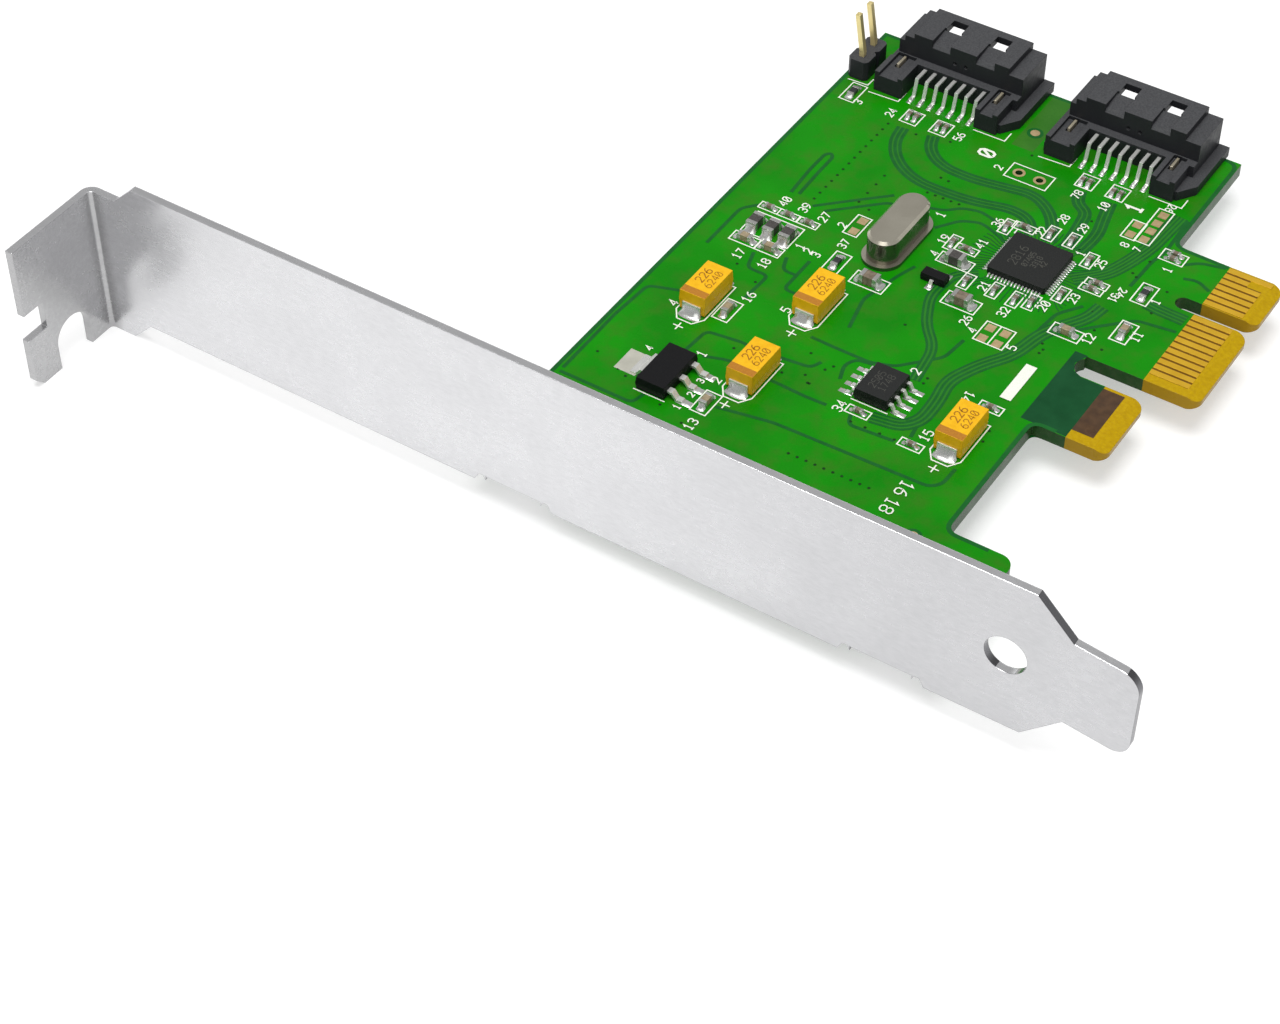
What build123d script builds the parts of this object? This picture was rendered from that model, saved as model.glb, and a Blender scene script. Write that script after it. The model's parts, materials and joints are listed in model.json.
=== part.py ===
from build123d import *
import os
from math import cos, pi, radians, sin, sqrt, tan

# A two-port drive controller card on its full-height slot bracket.
#
# Millimetres. +X runs the way the card is pushed into its slot, +Y from the bracket
# to the far end of the card, and +Z out of the component face.
# The origin is on the contact edge, in the middle of the key notch and of the board.


# Board
board_thickness = 1.57
board_height = 45.45          # main edge to the opposite long edge, along X
board_length = 83.75          # bracket end to connector end, along Y
board_end_y = 24.9            # connector end
contact_reach = 12.7          # contact edge out from the main edge
contact_far_y = 8.1           # side of the contact tongue beyond the key
contact_near_y = -13.1        # side of the contact tongue towards the bracket
key_width = 1.9
key_depth = 8.84
hook_gap = 3.05               # slot between the contact tongue and the hook
hook_gap_depth = 13.2
hook_width = 8.95
hook_setback = 4.5            # hook tip behind the contact edge
foot_setback = 5.15           # foot along the bracket, behind the contact edge
foot_width = 15.75            # how far the foot runs out from the bracket end
foot_corner = 1.5
tip_radius = 1.1              # free corners of the contact tongue and of the hook
bevel_length = 1.3
bevel_depth = 0.45

# Edge contacts, on both faces
contact_pitch = 1.0
contact_width = 0.7
contact_foil = 0.04
contact_start = 1.75          # outer end, behind the contact edge
contact_length = 4.49
near_contacts = 11
far_contacts = 7
key_to_contact = 1.5
long_contact_extra = 0.6
short_contact_less = 1.7

# Slot bracket, folded from one sheet
sheet = 0.86
bracket_width = 18.42
bracket_length = 120.02       # seat face of the tab to the tongue's tip
edge_to_seat = 104.83         # contact edge to the seat face of the tab
board_to_bracket = 0.29
bracket_lip = 0.385           # bracket edge below the ears
tab_depth = 12.0
tab_drop = 2.5                # the tab end is shifted this far towards -Z
tab_neck = 3.2                # straight stretch between the tab and the slanted step
bend_radius = 0.5
tongue_width = 10.4
tongue_length = 6.95
tongue_lean = 6.0             # degrees, away from the card
tongue_corner = 2.0
plate_hole_radius = 2.2
plate_hole_to_tip = 13.24
screw_slot_width = 4.9
screw_slot_depth = 5.5
screw_slot_to_plate = 5.7     # slot centre to the plate's outer face
tab_notch_depth = 2.9
tab_notch_width = 3.4
tab_notch_height = 6.55       # notch floor above the tab's lower edge
tab_corner = 1.1
ear_width = 6.7
ear_length = 9.0
ear_corner = 1.2
ear_from_top = 5.65           # first ear's middle, in from the top edge
ear_from_main = 2.25          # second ear's middle, out from the main edge
relief_width = 1.3
relief_depth = 0.95

# Bracket screws
screw_radius = 1.45
screw_clearance = 0.15        # in the board
thread_clearance = 0.05       # in the ears
screw_to_plate = 5.6
screw_head_radius = 2.75
screw_head_height = 1.9
screw_head_bevel = 0.6
screw_recess_width = 0.9
screw_recess_depth = 0.9

# Drive connectors at the far end, measured from the mouth and the board's face
port_from_top = 12.66         # first connector's middle, in from the top edge
port_pitch = 21.81
mouth_overhang = 0.3
port_width = 15.8
port_height = 5.75
port_shoulder = 4.9
port_crown_width = 12.15
port_step_width = 1.15        # the other shoulder is lower and in two steps
port_step_height = 0.62
port_low_shoulder = 4.4
port_depth = 5.85
port_ledge = 1.05
port_ledge_height = 2.65
port_flange_width = 18.2
port_flange_height = 1.2
port_flange_lip = 0.3
port_flange_slant = 2.1
vent_offset = 0.71
vent_height = 3.7
vent_radius = 0.25
vent_depth = 0.3
port_wall = 0.85
port_cavity_depth = 5.3
port_cavity_width = 12.8
port_cavity_height = 3.2
port_cavity_crown_width = 9.6
wafer_width = 10.4
wafer_thickness = 1.23
wafer_height = 2.1            # wafer's underside above the board
wafer_setback = 1.4
blade_setback = 0.5           # behind the wafer's front
wafer_key_width = 1.4
wafer_key_drop = 0.9
latch_middle = 0.25           # middle of the two windows
latch_offset = 2.82
latch_width = 1.9
latch_length = 1.8
latch_setback = 1.1
channel_width = 2.3
channel_rear_depth = 0.7
channel_front_depth = 0.35
channel_bevel = 0.35
port_ears = [(-6.6, 3.55), (5.95, 2.8)]   # middle and width
port_ear_length = 3.7
port_ear_height = 2.65
port_ear_inset = 0.5          # the flange's edge, short of the ears' front
ear_rim = 0.6
ear_pocket_depth = 0.45
ear_pocket_lip = 0.15
clip_offset = 0.25            # from the ear's middle, towards the top edge
clip_setback = 1.2            # clip's middle, behind the shroud
clip_length = 1.8
clip_thickness = 0.3
clip_clearance = 0.2
clip_below_rim = 0.15
port_lead_count = 7
port_lead_pitch = 1.27
port_lead_width = 0.42
port_lead_thickness = 0.2
port_lead_height = 2.2
port_lead_knee = 1.95         # knee out from the ledge
port_lead_heel = 2.5
port_lead_toe = 3.4

# Two-pin header
header_from_top = 1.6         # header's middle, in from the top edge
header_from_end = 7.15        # and in from the connector end
header_pitch = 2.54
header_base_height = 2.54
header_chamfer = 0.42
header_pin_width = 0.6
header_pin_top = 8.6
header_pin_lean = 6.0         # degrees, above the base and towards the bracket
header_pin_side_lean = 5.5    # degrees, towards the top edge
header_pin_tail = 1.4
lead_hole_clearance = 0.1     # round every lead that goes through the board

# Unused plated holes
spare_hole_x = -31.48
spare_hole_y = 10.07
spare_hole_pitch = 2.54
spare_hole_radius = 0.42
spare_ring_width = 0.3

# Crystal
crystal_x = -38.25
crystal_y = -7.65
crystal_flange_length = 11.0
crystal_flange_width = 4.65
crystal_flange_height = 0.45
crystal_can_length = 9.9
crystal_can_width = 3.7
crystal_height = 3.4
crystal_can_bevel = 0.3
crystal_lead_pitch = 4.88
crystal_lead_radius = 0.215
crystal_lead_tail = 1.1

# Controller chip
controller_x = -24.35
controller_y = -3.5
controller_width = 6.9
controller_height = 0.9
controller_lead_count = 16    # on each side
controller_lead_pitch = 0.4
controller_lead_width = 0.2
controller_lead_height = 0.18
controller_lead_reach = 0.4

# Memory chip
memory_x = -27.85
memory_y = -29.4
memory_width = 3.9
memory_length = 4.9
memory_height = 1.5
memory_standoff = 0.12
memory_lead_count = 4
memory_lead_pitch = 1.27
memory_lead_width = 0.42
memory_lead_thickness = 0.2
memory_lead_span = 6.1

# Voltage regulator
regulator_from_top = 10.65
regulator_y = -39.4
regulator_width = 3.5
regulator_length = 6.5
regulator_height = 1.6
regulator_standoff = 0.06
regulator_lead_pitch = 2.3
regulator_lead_width = 0.72
regulator_lead_thickness = 0.28
regulator_lead_span = 7.0
regulator_tab_width = 3.0

# Transistor
transistor_x = -31.75
transistor_y = -11.1
transistor_length = 2.9
transistor_width = 1.3
transistor_height = 1.0
transistor_standoff = 0.05
transistor_lead_pitch = 1.9
transistor_lead_width = 0.42
transistor_lead_thickness = 0.13
transistor_lead_span = 2.5

# Tantalum capacitors: middles, with the plus end towards the bracket. The upper ones, and the upper
# chip parts and marks below, keep their distance from the top edge, which is what their X gives.
upper_tantalums = [(7.55, -26.8), (18.05, -21.3), (18.0, -34.4)]
lower_tantalums = [(-17.85, -31.0)]
tantalum_length = 6.0
tantalum_width = 3.2
tantalum_height = 2.6
tantalum_terminal_width = 2.2
tantalum_terminal_height = 1.3
tantalum_foil = 0.16
tantalum_foot = 1.3

# Chip parts: length, width, height and end cap of each size
small_chip = (1.0, 0.5, 0.5, 0.25)
medium_chip = (1.6, 0.8, 0.8, 0.35)
large_chip = (2.05, 1.25, 1.15, 0.45)
medium_resistor = (1.6, 0.8, 0.45, 0.35)

# Middles of the chip parts, the first list along X and the second along Y
small_capacitors_x = [(-31.3, -4.8), (-27.8, 1.9), (-16.95, -2.25), (-17.1, -3.35), (-28.35, -33.3),
                      (-21.5, -34.65), (-17.35, -25.45)]
upper_small_capacitors_x = [(5.4, -10.25), (7.8, -10.25), (10.3, -10.25)]
contact_capacitors_x = [(-12.0, 6.6), (-12.0, 5.75)]
small_capacitors_y = [(-33.1, -4.55), (-28.85, -9.4), (-25.6, -9.05), (-23.1, -9.2), (-21.45, -8.65),
                      (-19.4, -5.85), (-19.4, 0.8), (-22.45, 2.75), (-24.9, 2.6), (-29.45, 1.05)]
medium_capacitors_x = [(-16.2, -11.0)]
upper_medium_capacitors_x = [(5.95, -16.3), (9.0, -16.3)]
medium_capacitors_y = [(-11.15, -7.65)]
upper_medium_capacitors_y = [(10.5, -27.25), (16.15, -40.55)]
upper_large_capacitors_x = [(20.75, -15.15)]
large_capacitors_x = [(-27.65, -12.75)]
inductors_x = [(-31.35, -7.25)]
upper_inductors_y = [(5.65, -13.7), (7.7, -13.7), (9.7, -13.7)]
medium_resistors_y = [(-12.0, -1.0)]
upper_medium_resistors_y = [(2.65, 12.75), (16.2, -14.25)]
signal_pair_setback = 2.4     # coupling capacitors' middles, out from the ports' lead toes
signal_pair_spacing = 0.86
signal_pair_offsets = (-2.05, 1.7)   # pair middles from each port's middle

# Bare pads: middles and sizes
small_pad = (1.0, 1.1)
bare_pads = [(-43.05, -6.7), (-43.05, -8.7), (-23.15, -14.6), (-23.15, -16.45), (-21.4, -14.6),
             (-21.4, -16.45), (-17.7, 9.05), (-17.7, 7.2), (-16.05, 12.0), (-16.05, 10.4),
             (-16.05, 8.85), (-16.05, 7.2)]
upper_target_marks = [(23.6, 17.4)]
lower_target_marks = [(-15.15, -45.6)]
target_radius = 0.55


# Worked out from the sizes above
face = board_thickness / 2                     # component face; the other is at -face
main_edge_x = -contact_reach
top_edge_x = main_edge_x - board_height
bracket_end_y = board_end_y - board_length
plate_inner_y = bracket_end_y - board_to_bracket
plate_outer_y = plate_inner_y - sheet
ear_under_z = -face - sheet
plate_low_z = ear_under_z - bracket_lip
plate_high_z = plate_low_z + bracket_width
plate_mid_z = (plate_low_z + plate_high_z) / 2
seat_x = -edge_to_seat
tongue_tip_x = seat_x + bracket_length
tongue_bend_x = tongue_tip_x - tongue_length * cos(radians(tongue_lean))
taper = (bracket_width - tongue_width) / 2
tab_low_z = plate_low_z - tab_drop
tab_high_z = plate_high_z - tab_drop
tab_end_y = plate_outer_y - tab_depth
screw_y = plate_inner_y + screw_to_plate
mouth_y = board_end_y + mouth_overhang
header_y = board_end_y - header_from_end
header_x = top_edge_x + header_from_top
port_middles = [top_edge_x + port_from_top + i * port_pitch for i in range(2)]
ear_middles = [top_edge_x + ear_from_top, main_edge_x + ear_from_main]
regulator_x = top_edge_x + regulator_from_top


def from_top(places):
    """Middles whose X is given in from the top edge, in the card's own frame."""
    return [(top_edge_x + x, y) for x, y in places]


tantalum_places = from_top(upper_tantalums) + lower_tantalums


def block(x0, x1, y0, y1, z0, z1):
    """A box between two corners."""
    return Pos((x0 + x1) / 2, (y0 + y1) / 2, (z0 + z1) / 2) * Box(x1 - x0, y1 - y0, z1 - z0)


def rect(x0, x1, y0, y1):
    """A rectangle between two corners, in the board's plane."""
    return Pos((x0 + x1) / 2, (y0 + y1) / 2) * Rectangle(x1 - x0, y1 - y0)


def outline(points, plane=Plane.XY):
    """A flat face inside a closed run of straight edges."""
    return plane * make_face(Polyline(*points, close=True))


def ribbon(points, thickness, width):
    """A bent strip that runs in the XZ plane, from its centre line, with mitred bends."""
    upper, lower = [], []
    for i, (x, z) in enumerate(points):
        before = points[max(i - 1, 0)]
        after = points[min(i + 1, len(points) - 1)]
        runs = [(b[0] - a[0], b[1] - a[1]) for a, b in ((before, (x, z)), ((x, z), after)) if a != b]
        normals = [(-dz / sqrt(dx * dx + dz * dz), dx / sqrt(dx * dx + dz * dz)) for dx, dz in runs]
        nx, nz = sum(n[0] for n in normals), sum(n[1] for n in normals)
        size = sqrt(nx * nx + nz * nz)
        mitre = thickness / 2 / ((nx * normals[0][0] + nz * normals[0][1]) / size)
        upper.append((x + nx / size * mitre, z + nz / size * mitre))
        lower.append((x - nx / size * mitre, z - nz / size * mitre))
    side = outline(upper + lower[::-1], Plane.XZ)
    return extrude(side, amount=width / 2, both=True)


def row(count, pitch):
    """Even places about zero."""
    return [(i - (count - 1) / 2) * pitch for i in range(count)]


def moulded(length, width, height, standoff, draft=7):
    """A moulded chip body: two drafted halves that meet at mid height, clear of the board."""
    half = (height - standoff) / 2
    sketch = Rectangle(length, width)
    upper = extrude(sketch, amount=half, taper=draft)
    lower = extrude(sketch, amount=-half, taper=draft)
    return Pos(0, 0, standoff + half) * (upper + lower)


def save(node, shapes):
    """Write one node as its separate solids."""
    solids = [solid for shape in shapes for solid in shape.solids()]
    export_step(Compound(children=solids, label=node), f"parts/{node}.step")


# Board

def contact_places():
    """Middle and outer setback of each edge contact, from the bracket side to the far side."""
    near = [(-key_to_contact - i * contact_pitch, 0.0) for i in range(near_contacts)][::-1]
    far = [(key_to_contact + i * contact_pitch, 0.0) for i in range(far_contacts)]
    far[-2] = (far[-2][0], short_contact_less)
    far[-1] = (far[-1][0], -long_contact_extra)
    return near + far


def header_places():
    return [(header_x, header_y + y) for y in row(2, header_pitch)]


def spare_places():
    return [(spare_hole_x + x, spare_hole_y) for x in row(2, spare_hole_pitch)]


def crystal_lead_places():
    return [(crystal_x, crystal_y + y) for y in row(2, crystal_lead_pitch)]


def board():
    hook_far_y = contact_near_y - hook_gap
    hook_near_y = hook_far_y - hook_width
    foot_far_y = bracket_end_y + foot_width
    key_round, gap_round = key_width / 2, hook_gap / 2

    contact_tongue = rect(main_edge_x, 0, contact_near_y, contact_far_y)
    hook = rect(main_edge_x, -hook_setback, hook_near_y, hook_far_y)
    foot = rect(main_edge_x, -foot_setback, bracket_end_y, foot_far_y)
    key = rect(-key_depth + key_round, 1, -key_round, key_round)
    key += Pos(-key_depth + key_round, 0) * Circle(key_round)
    gap_mid_y = contact_near_y - gap_round
    gap = rect(-hook_gap_depth + gap_round, 1, hook_far_y, contact_near_y)
    gap += Pos(-hook_gap_depth + gap_round, gap_mid_y) * Circle(gap_round)

    contact_tongue -= key
    tips = contact_tongue.vertices().filter_by(lambda v: abs(v.X) < 0.01)
    contact_tongue = fillet(tips, tip_radius)
    tips = hook.vertices().filter_by(lambda v: abs(v.X + hook_setback) < 0.01)
    hook = fillet(tips, tip_radius)
    corner = foot.vertices().sort_by(lambda v: v.X + v.Y)[-1]
    foot = fillet(corner, foot_corner)

    shape = rect(top_edge_x, main_edge_x, bracket_end_y, board_end_y)
    shape += contact_tongue + hook + foot
    shape -= key + gap
    for x, y in header_places():
        shape -= Pos(x, y) * Circle(header_pin_width / sqrt(2) + lead_hole_clearance)
    for x, y in spare_places():
        shape -= Pos(x, y) * Circle(spare_hole_radius)
    for x, y in crystal_lead_places():
        shape -= Pos(x, y) * Circle(crystal_lead_radius + lead_hole_clearance)
    for x in ear_middles:
        shape -= Pos(x, screw_y) * Circle(screw_radius + screw_clearance)
    solid = extrude(shape, amount=face, both=True)

    # Lead-in bevels on both faces of the contact edge and of the hook
    for tip_x, y0, y1 in ((0, contact_near_y, contact_far_y), (-hook_setback, hook_near_y, hook_far_y)):
        wedge = outline([(tip_x - bevel_length, face), (tip_x + 1, face),
                         (tip_x + 1, face - bevel_depth - bevel_depth / bevel_length),
                         (tip_x, face - bevel_depth)], Plane.XZ)
        cutter = Pos(0, (y0 + y1) / 2, 0) * extrude(wedge, amount=(y1 - y0) / 2 + 0.1, both=True)
        solid -= cutter
        solid -= mirror(cutter, Plane.XY)
    return solid


def edge_contacts():
    pads = []
    for z0, z1 in ((face, face + contact_foil), (-face - contact_foil, -face)):
        for y, less in contact_places():
            pads.append(block(-contact_start - contact_length, -contact_start - less,
                              y - contact_width / 2, y + contact_width / 2, z0, z1))
    return pads


def bare_pad_foils():
    foils = [Pos(x, y, face) * extrude(Rectangle(*small_pad), amount=contact_foil) for x, y in bare_pads]
    foils += [Pos(x, y, face) * extrude(Circle(target_radius), amount=contact_foil)
              for x, y in from_top(upper_target_marks) + lower_target_marks]
    ring = Circle(spare_hole_radius + spare_ring_width) - Circle(spare_hole_radius)
    for x, y in spare_places():
        foils.append(Pos(x, y, face) * extrude(ring, amount=contact_foil))
        foils.append(Pos(x, y, -face) * extrude(ring, amount=-contact_foil))
    return foils


# Slot bracket and its screws

def bracket_outline():
    """The bracket seen from outside, with the shifted tab end and the tapered tongue."""
    neck_x = seat_x + tab_neck
    taper_x = tongue_bend_x - taper
    points = [(seat_x - sheet, tab_low_z), (neck_x, tab_low_z), (neck_x + tab_drop, plate_low_z),
              (taper_x, plate_low_z), (tongue_bend_x, plate_low_z + taper),
              (tongue_tip_x, plate_low_z + taper), (tongue_tip_x, plate_high_z - taper),
              (tongue_bend_x, plate_high_z - taper), (taper_x, plate_high_z),
              (neck_x + tab_drop, plate_high_z), (neck_x, tab_high_z), (seat_x - sheet, tab_high_z)]
    face2d = make_face(Polyline(*points, close=True))
    tips = face2d.vertices().filter_by(lambda v: abs(v.X - tongue_tip_x) < 0.01)
    return fillet(tips, tongue_corner)


def folded_sheet():
    """The sheet seen from its edge: tab, plate and leaning tongue, as tall as the outline."""
    lean = radians(tongue_lean)
    tip = (tongue_tip_x, plate_outer_y - tongue_length * sin(lean))
    tip_inner = (tip[0] + sheet * sin(lean), tip[1] + sheet * cos(lean))
    bend_inner = (tongue_bend_x + sheet * tan(lean / 2), plate_inner_y)
    profile = make_face(Polyline((seat_x - sheet, tab_end_y), (seat_x, tab_end_y), (seat_x, plate_outer_y),
                                 (tongue_bend_x, plate_outer_y), tip, tip_inner, bend_inner,
                                 (seat_x - sheet, plate_inner_y), close=True))
    corners = profile.vertices()
    inner = corners.sort_by_distance((seat_x, plate_outer_y))[0]
    profile = fillet(inner, bend_radius)
    outer = profile.vertices().sort_by_distance((seat_x - sheet, plate_inner_y))[0]
    profile = fillet(outer, bend_radius + sheet)
    return Pos(0, 0, tab_low_z - 1) * extrude(profile, amount=bracket_width + tab_drop + 2)


def tab_cuts():
    """The screw slot, open downwards, the notch in the outer edge and the clipped corner."""
    slot_y = plate_outer_y - screw_slot_to_plate
    slot_round = screw_slot_width / 2
    slot_top = tab_low_z + screw_slot_depth
    notch_z = tab_low_z + tab_notch_height
    shape = Pos(slot_y, slot_top - slot_round) * Circle(slot_round)
    shape += Pos(slot_y, (slot_top - slot_round + tab_low_z - 1) / 2) * Rectangle(
        screw_slot_width, slot_top - slot_round - tab_low_z + 1)
    shape += Pos(tab_end_y + tab_notch_depth / 2 - 0.5, notch_z + tab_notch_width / 2) * Rectangle(
        tab_notch_depth + 1, tab_notch_width)
    shape += make_face(Polyline((tab_end_y - 1, tab_low_z - 1), (tab_end_y + tab_corner, tab_low_z - 1),
                                (tab_end_y + tab_corner, tab_low_z), (tab_end_y, tab_low_z + tab_corner),
                                (tab_end_y - 1, tab_low_z + tab_corner), close=True))
    return Pos(seat_x - sheet / 2, 0, 0) * extrude(Plane.YZ * shape, amount=sheet, both=True)


def ear(x):
    """A mounting ear folded in from the plate's lower edge, with its screw hole."""
    y0, y1 = plate_outer_y, plate_inner_y + ear_length
    shape = rect(x - ear_width / 2, x + ear_width / 2, y0, y1)
    free = shape.vertices().filter_by(lambda v: abs(v.Y - y1) < 0.01)
    shape = fillet(free, ear_corner) - Pos(x, screw_y) * Circle(screw_radius + thread_clearance)
    solid = Pos(0, 0, ear_under_z) * extrude(shape, amount=sheet)
    fold = solid.edges().filter_by(Axis.X).filter_by(
        lambda e: abs(e.center().Y - y0) < 0.01 and abs(e.center().Z - ear_under_z) < 0.01)
    return fillet(fold, sheet * 0.9)


def ear_relief(x):
    """Room below an ear's fold and the two small notches that free its ends."""
    half = ear_width / 2
    high = plate_low_z + relief_depth
    points = [(-half - relief_width, plate_low_z - 1), (-half - relief_width, plate_low_z),
              (-half - relief_width * 0.6, high), (-half - relief_width * 0.2, high),
              (-half, ear_under_z), (half, ear_under_z), (half + relief_width * 0.2, high),
              (half + relief_width * 0.6, high), (half + relief_width, plate_low_z),
              (half + relief_width, plate_low_z - 1)]
    shape = outline([(x + px, pz) for px, pz in points], Plane.XZ)
    return Pos(0, plate_outer_y + sheet / 2, 0) * extrude(shape, amount=sheet, both=True)


def bracket():
    stencil = Pos(0, plate_outer_y, 0) * extrude(Plane.XZ * bracket_outline(), amount=tab_depth + sheet * 4,
                                                 both=True)
    solid = folded_sheet() & stencil
    solid -= tab_cuts()
    hole_x = tongue_tip_x - plate_hole_to_tip
    solid -= Pos(hole_x, plate_outer_y, plate_mid_z) * Rot(90, 0, 0) * Cylinder(plate_hole_radius, 4 * sheet)
    for x in ear_middles:
        solid -= ear_relief(x)
    fold_high_z = ear_under_z + sheet
    for x in ear_middles:
        half = ear_width / 2
        # The plate above the fold is kept, and the ear takes the place of its lowest stretch
        solid -= block(x - half, x + half, plate_outer_y - sheet, plate_inner_y + sheet,
                       plate_low_z - 1, fold_high_z)
        solid += ear(x)
    return [solid]


def bracket_screws():
    screws = []
    for x in ear_middles:
        shank = Pos(0, 0, (plate_low_z + face) / 2) * Cylinder(screw_radius, face - plate_low_z)
        head = Pos(0, 0, face + screw_head_height / 2) * Cylinder(screw_head_radius, screw_head_height)
        rim = head.edges().filter_by(GeomType.CIRCLE).sort_by(Axis.Z)[-1]
        head = chamfer(rim, screw_head_bevel)
        top = face + screw_head_height
        for turn in (0, 90):
            recess = Box(screw_head_radius * 1.1, screw_recess_width, 2 * screw_recess_depth)
            head -= Pos(0, 0, top) * Rot(0, 0, turn) * recess
        screws.append(Pos(x, screw_y, 0) * (head + shank))
    return screws


# Drive connectors, drawn about the mouth's middle on the board's face

def port_profile():
    """The shroud seen from its mouth: a crown between a shoulder and a lower, stepped one."""
    half, crown = port_width / 2, port_crown_width / 2
    step_x, step_z = -crown - port_step_width, port_height - port_step_height
    return outline([(-half, 0), (half, 0), (half, port_shoulder), (crown, port_shoulder), (crown, port_height),
                    (-crown, port_height), (-crown, step_z), (step_x, step_z), (step_x, port_low_shoulder),
                    (-half, port_low_shoulder)], Plane.XZ)


def port_cavity():
    """The space that takes the cable's plug, with its raised middle."""
    half, crown = port_cavity_width / 2, port_cavity_crown_width / 2
    low, high = port_wall, port_wall + port_cavity_height
    top = port_height - port_wall
    shape = outline([(-half, low), (half, low), (half, high), (crown, high), (crown, top), (-crown, top),
                     (-crown, high), (-half, high)], Plane.XZ)
    return extrude(shape, amount=port_cavity_depth) + extrude(shape, amount=-1)


def port_wafer():
    """The contact wafer inside the mouth, with the short leg that keys the plug."""
    half = wafer_width / 2
    low, high = wafer_height, wafer_height + wafer_thickness
    shape = outline([(-half, low), (half - wafer_key_width, low), (half - wafer_key_width, low - wafer_key_drop),
                     (half, low - wafer_key_drop), (half, high), (-half, high)], Plane.XZ)
    return Pos(0, -wafer_setback, 0) * extrude(shape, amount=port_cavity_depth - wafer_setback + port_wall / 2)


def latch_cuts():
    """A square latch window through the crown and the sloping channel that leads back from it."""
    cuts = []
    window_far = -latch_setback
    window_near = window_far - latch_length
    top = port_height
    channel_end = top - channel_rear_depth
    for x in (latch_middle - latch_offset, latch_middle + latch_offset):
        cuts.append(block(x - latch_width / 2, x + latch_width / 2, window_near, window_far,
                          port_height - 2 * port_wall, top + 1))
        slope = outline([(-port_depth, top + 1), (window_near, top + 1), (window_near, top - channel_front_depth),
                         (-port_depth + channel_bevel, channel_end), (-port_depth, channel_end - channel_bevel)],
                        Plane.YZ)
        cuts.append(Pos(x, 0, 0) * extrude(slope, amount=channel_width / 2, both=True))
    return cuts


def vent_cuts():
    """Two small round recesses low in the shroud's rear wall."""
    return [Pos(x, -port_depth, vent_height) * Rot(90, 0, 0) * Cylinder(vent_radius, 2 * vent_depth)
            for x in (-vent_offset, vent_offset)]


def port_ear_blocks():
    """Two ears behind the shroud, each with a channel and a slot for its clip."""
    ears, cuts = [], []
    rear = -port_depth - port_ledge
    front = rear - port_ear_length
    for (middle, width), (x, y) in zip(port_ears, clip_places()):
        x0, x1 = middle - width / 2, middle + width / 2
        ears.append(block(x0, x1, front, rear, 0, port_ear_height))
        cuts.append(block(x0 + ear_rim, x1 - ear_rim, front, -port_depth - ear_pocket_lip,
                          port_ear_height - ear_pocket_depth, port_ear_height + 1))
        cuts.append(block(x - clip_thickness / 2 - clip_clearance, x + clip_thickness / 2 + clip_clearance,
                          y - clip_length / 2 - clip_clearance, y + clip_length / 2 + clip_clearance,
                          0, port_ear_height))
    return ears, cuts


def clip_places():
    return [(middle - clip_offset, -port_depth - clip_setback) for middle, _ in port_ears]


def port_flange():
    """The base plate, with slanted corners beside the ears."""
    half = port_flange_width / 2
    rear = -port_depth - port_ledge
    near = rear - port_ear_length + port_ear_inset
    left = port_ears[0][0] - port_ears[0][1] / 2
    right = port_ears[1][0] + port_ears[1][1] / 2
    shape = outline([(-half, port_flange_lip), (half, port_flange_lip), (half, near + port_flange_slant),
                     (right + ear_rim / 2, near), (right - ear_rim / 2, near), (right - ear_rim / 2, rear),
                     (left + ear_rim / 2, rear), (left + ear_rim / 2, near), (left - ear_rim / 2, near),
                     (-half, near + port_flange_slant)])
    return extrude(shape, amount=port_flange_height)


def port_housing():
    rear = -port_depth - port_ledge
    solid = extrude(port_profile(), amount=port_depth)
    solid += block(-port_width / 2, port_width / 2, rear, -port_depth, 0, port_ledge_height)
    ears, cuts = port_ear_blocks()
    solid += port_flange()
    for piece in ears:
        solid += piece
    solid -= port_cavity()
    solid += port_wafer()
    for cut in cuts + latch_cuts() + vent_cuts():
        solid -= cut
    return solid


def port_terminals():
    """Seven bent leads behind the housing and the seven contacts on the wafer."""
    rear = port_depth + port_ledge
    half = port_lead_thickness / 2
    path = [(rear, port_lead_height), (rear + port_lead_knee, port_lead_height),
            (rear + port_lead_heel, half), (rear + port_lead_toe, half)]
    leads = []
    for x in row(port_lead_count, port_lead_pitch):
        lead = Pos(x, 0, 0) * Rot(0, 0, -90) * ribbon(path, port_lead_thickness, port_lead_width)
        blade = block(x - port_lead_width / 2, x + port_lead_width / 2,
                      -port_cavity_depth, -wafer_setback - blade_setback,
                      wafer_height + wafer_thickness, wafer_height + wafer_thickness + contact_foil * 2)
        leads += [lead, blade]
    return leads


def port_clips():
    clips = []
    for x, y in clip_places():
        clips.append(block(x - clip_thickness / 2, x + clip_thickness / 2, y - clip_length / 2,
                           y + clip_length / 2, 0, port_ear_height - clip_below_rim))
    return clips


# Header

def header_base():
    cell = Rectangle(header_pitch, header_pitch)
    cell = chamfer(cell.vertices(), header_chamfer)
    shape = Pos(0, -header_pitch / 2) * cell + Pos(0, header_pitch / 2) * cell
    shape += Rectangle(header_pitch - 2 * header_chamfer, header_pitch)
    solid = extrude(shape, amount=header_base_height)
    for y in row(2, header_pitch):
        solid -= Pos(0, y, header_base_height / 2) * Box(header_pin_width, header_pin_width,
                                                         2 * header_base_height)
    return Pos(header_x, header_y, face) * solid


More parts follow.
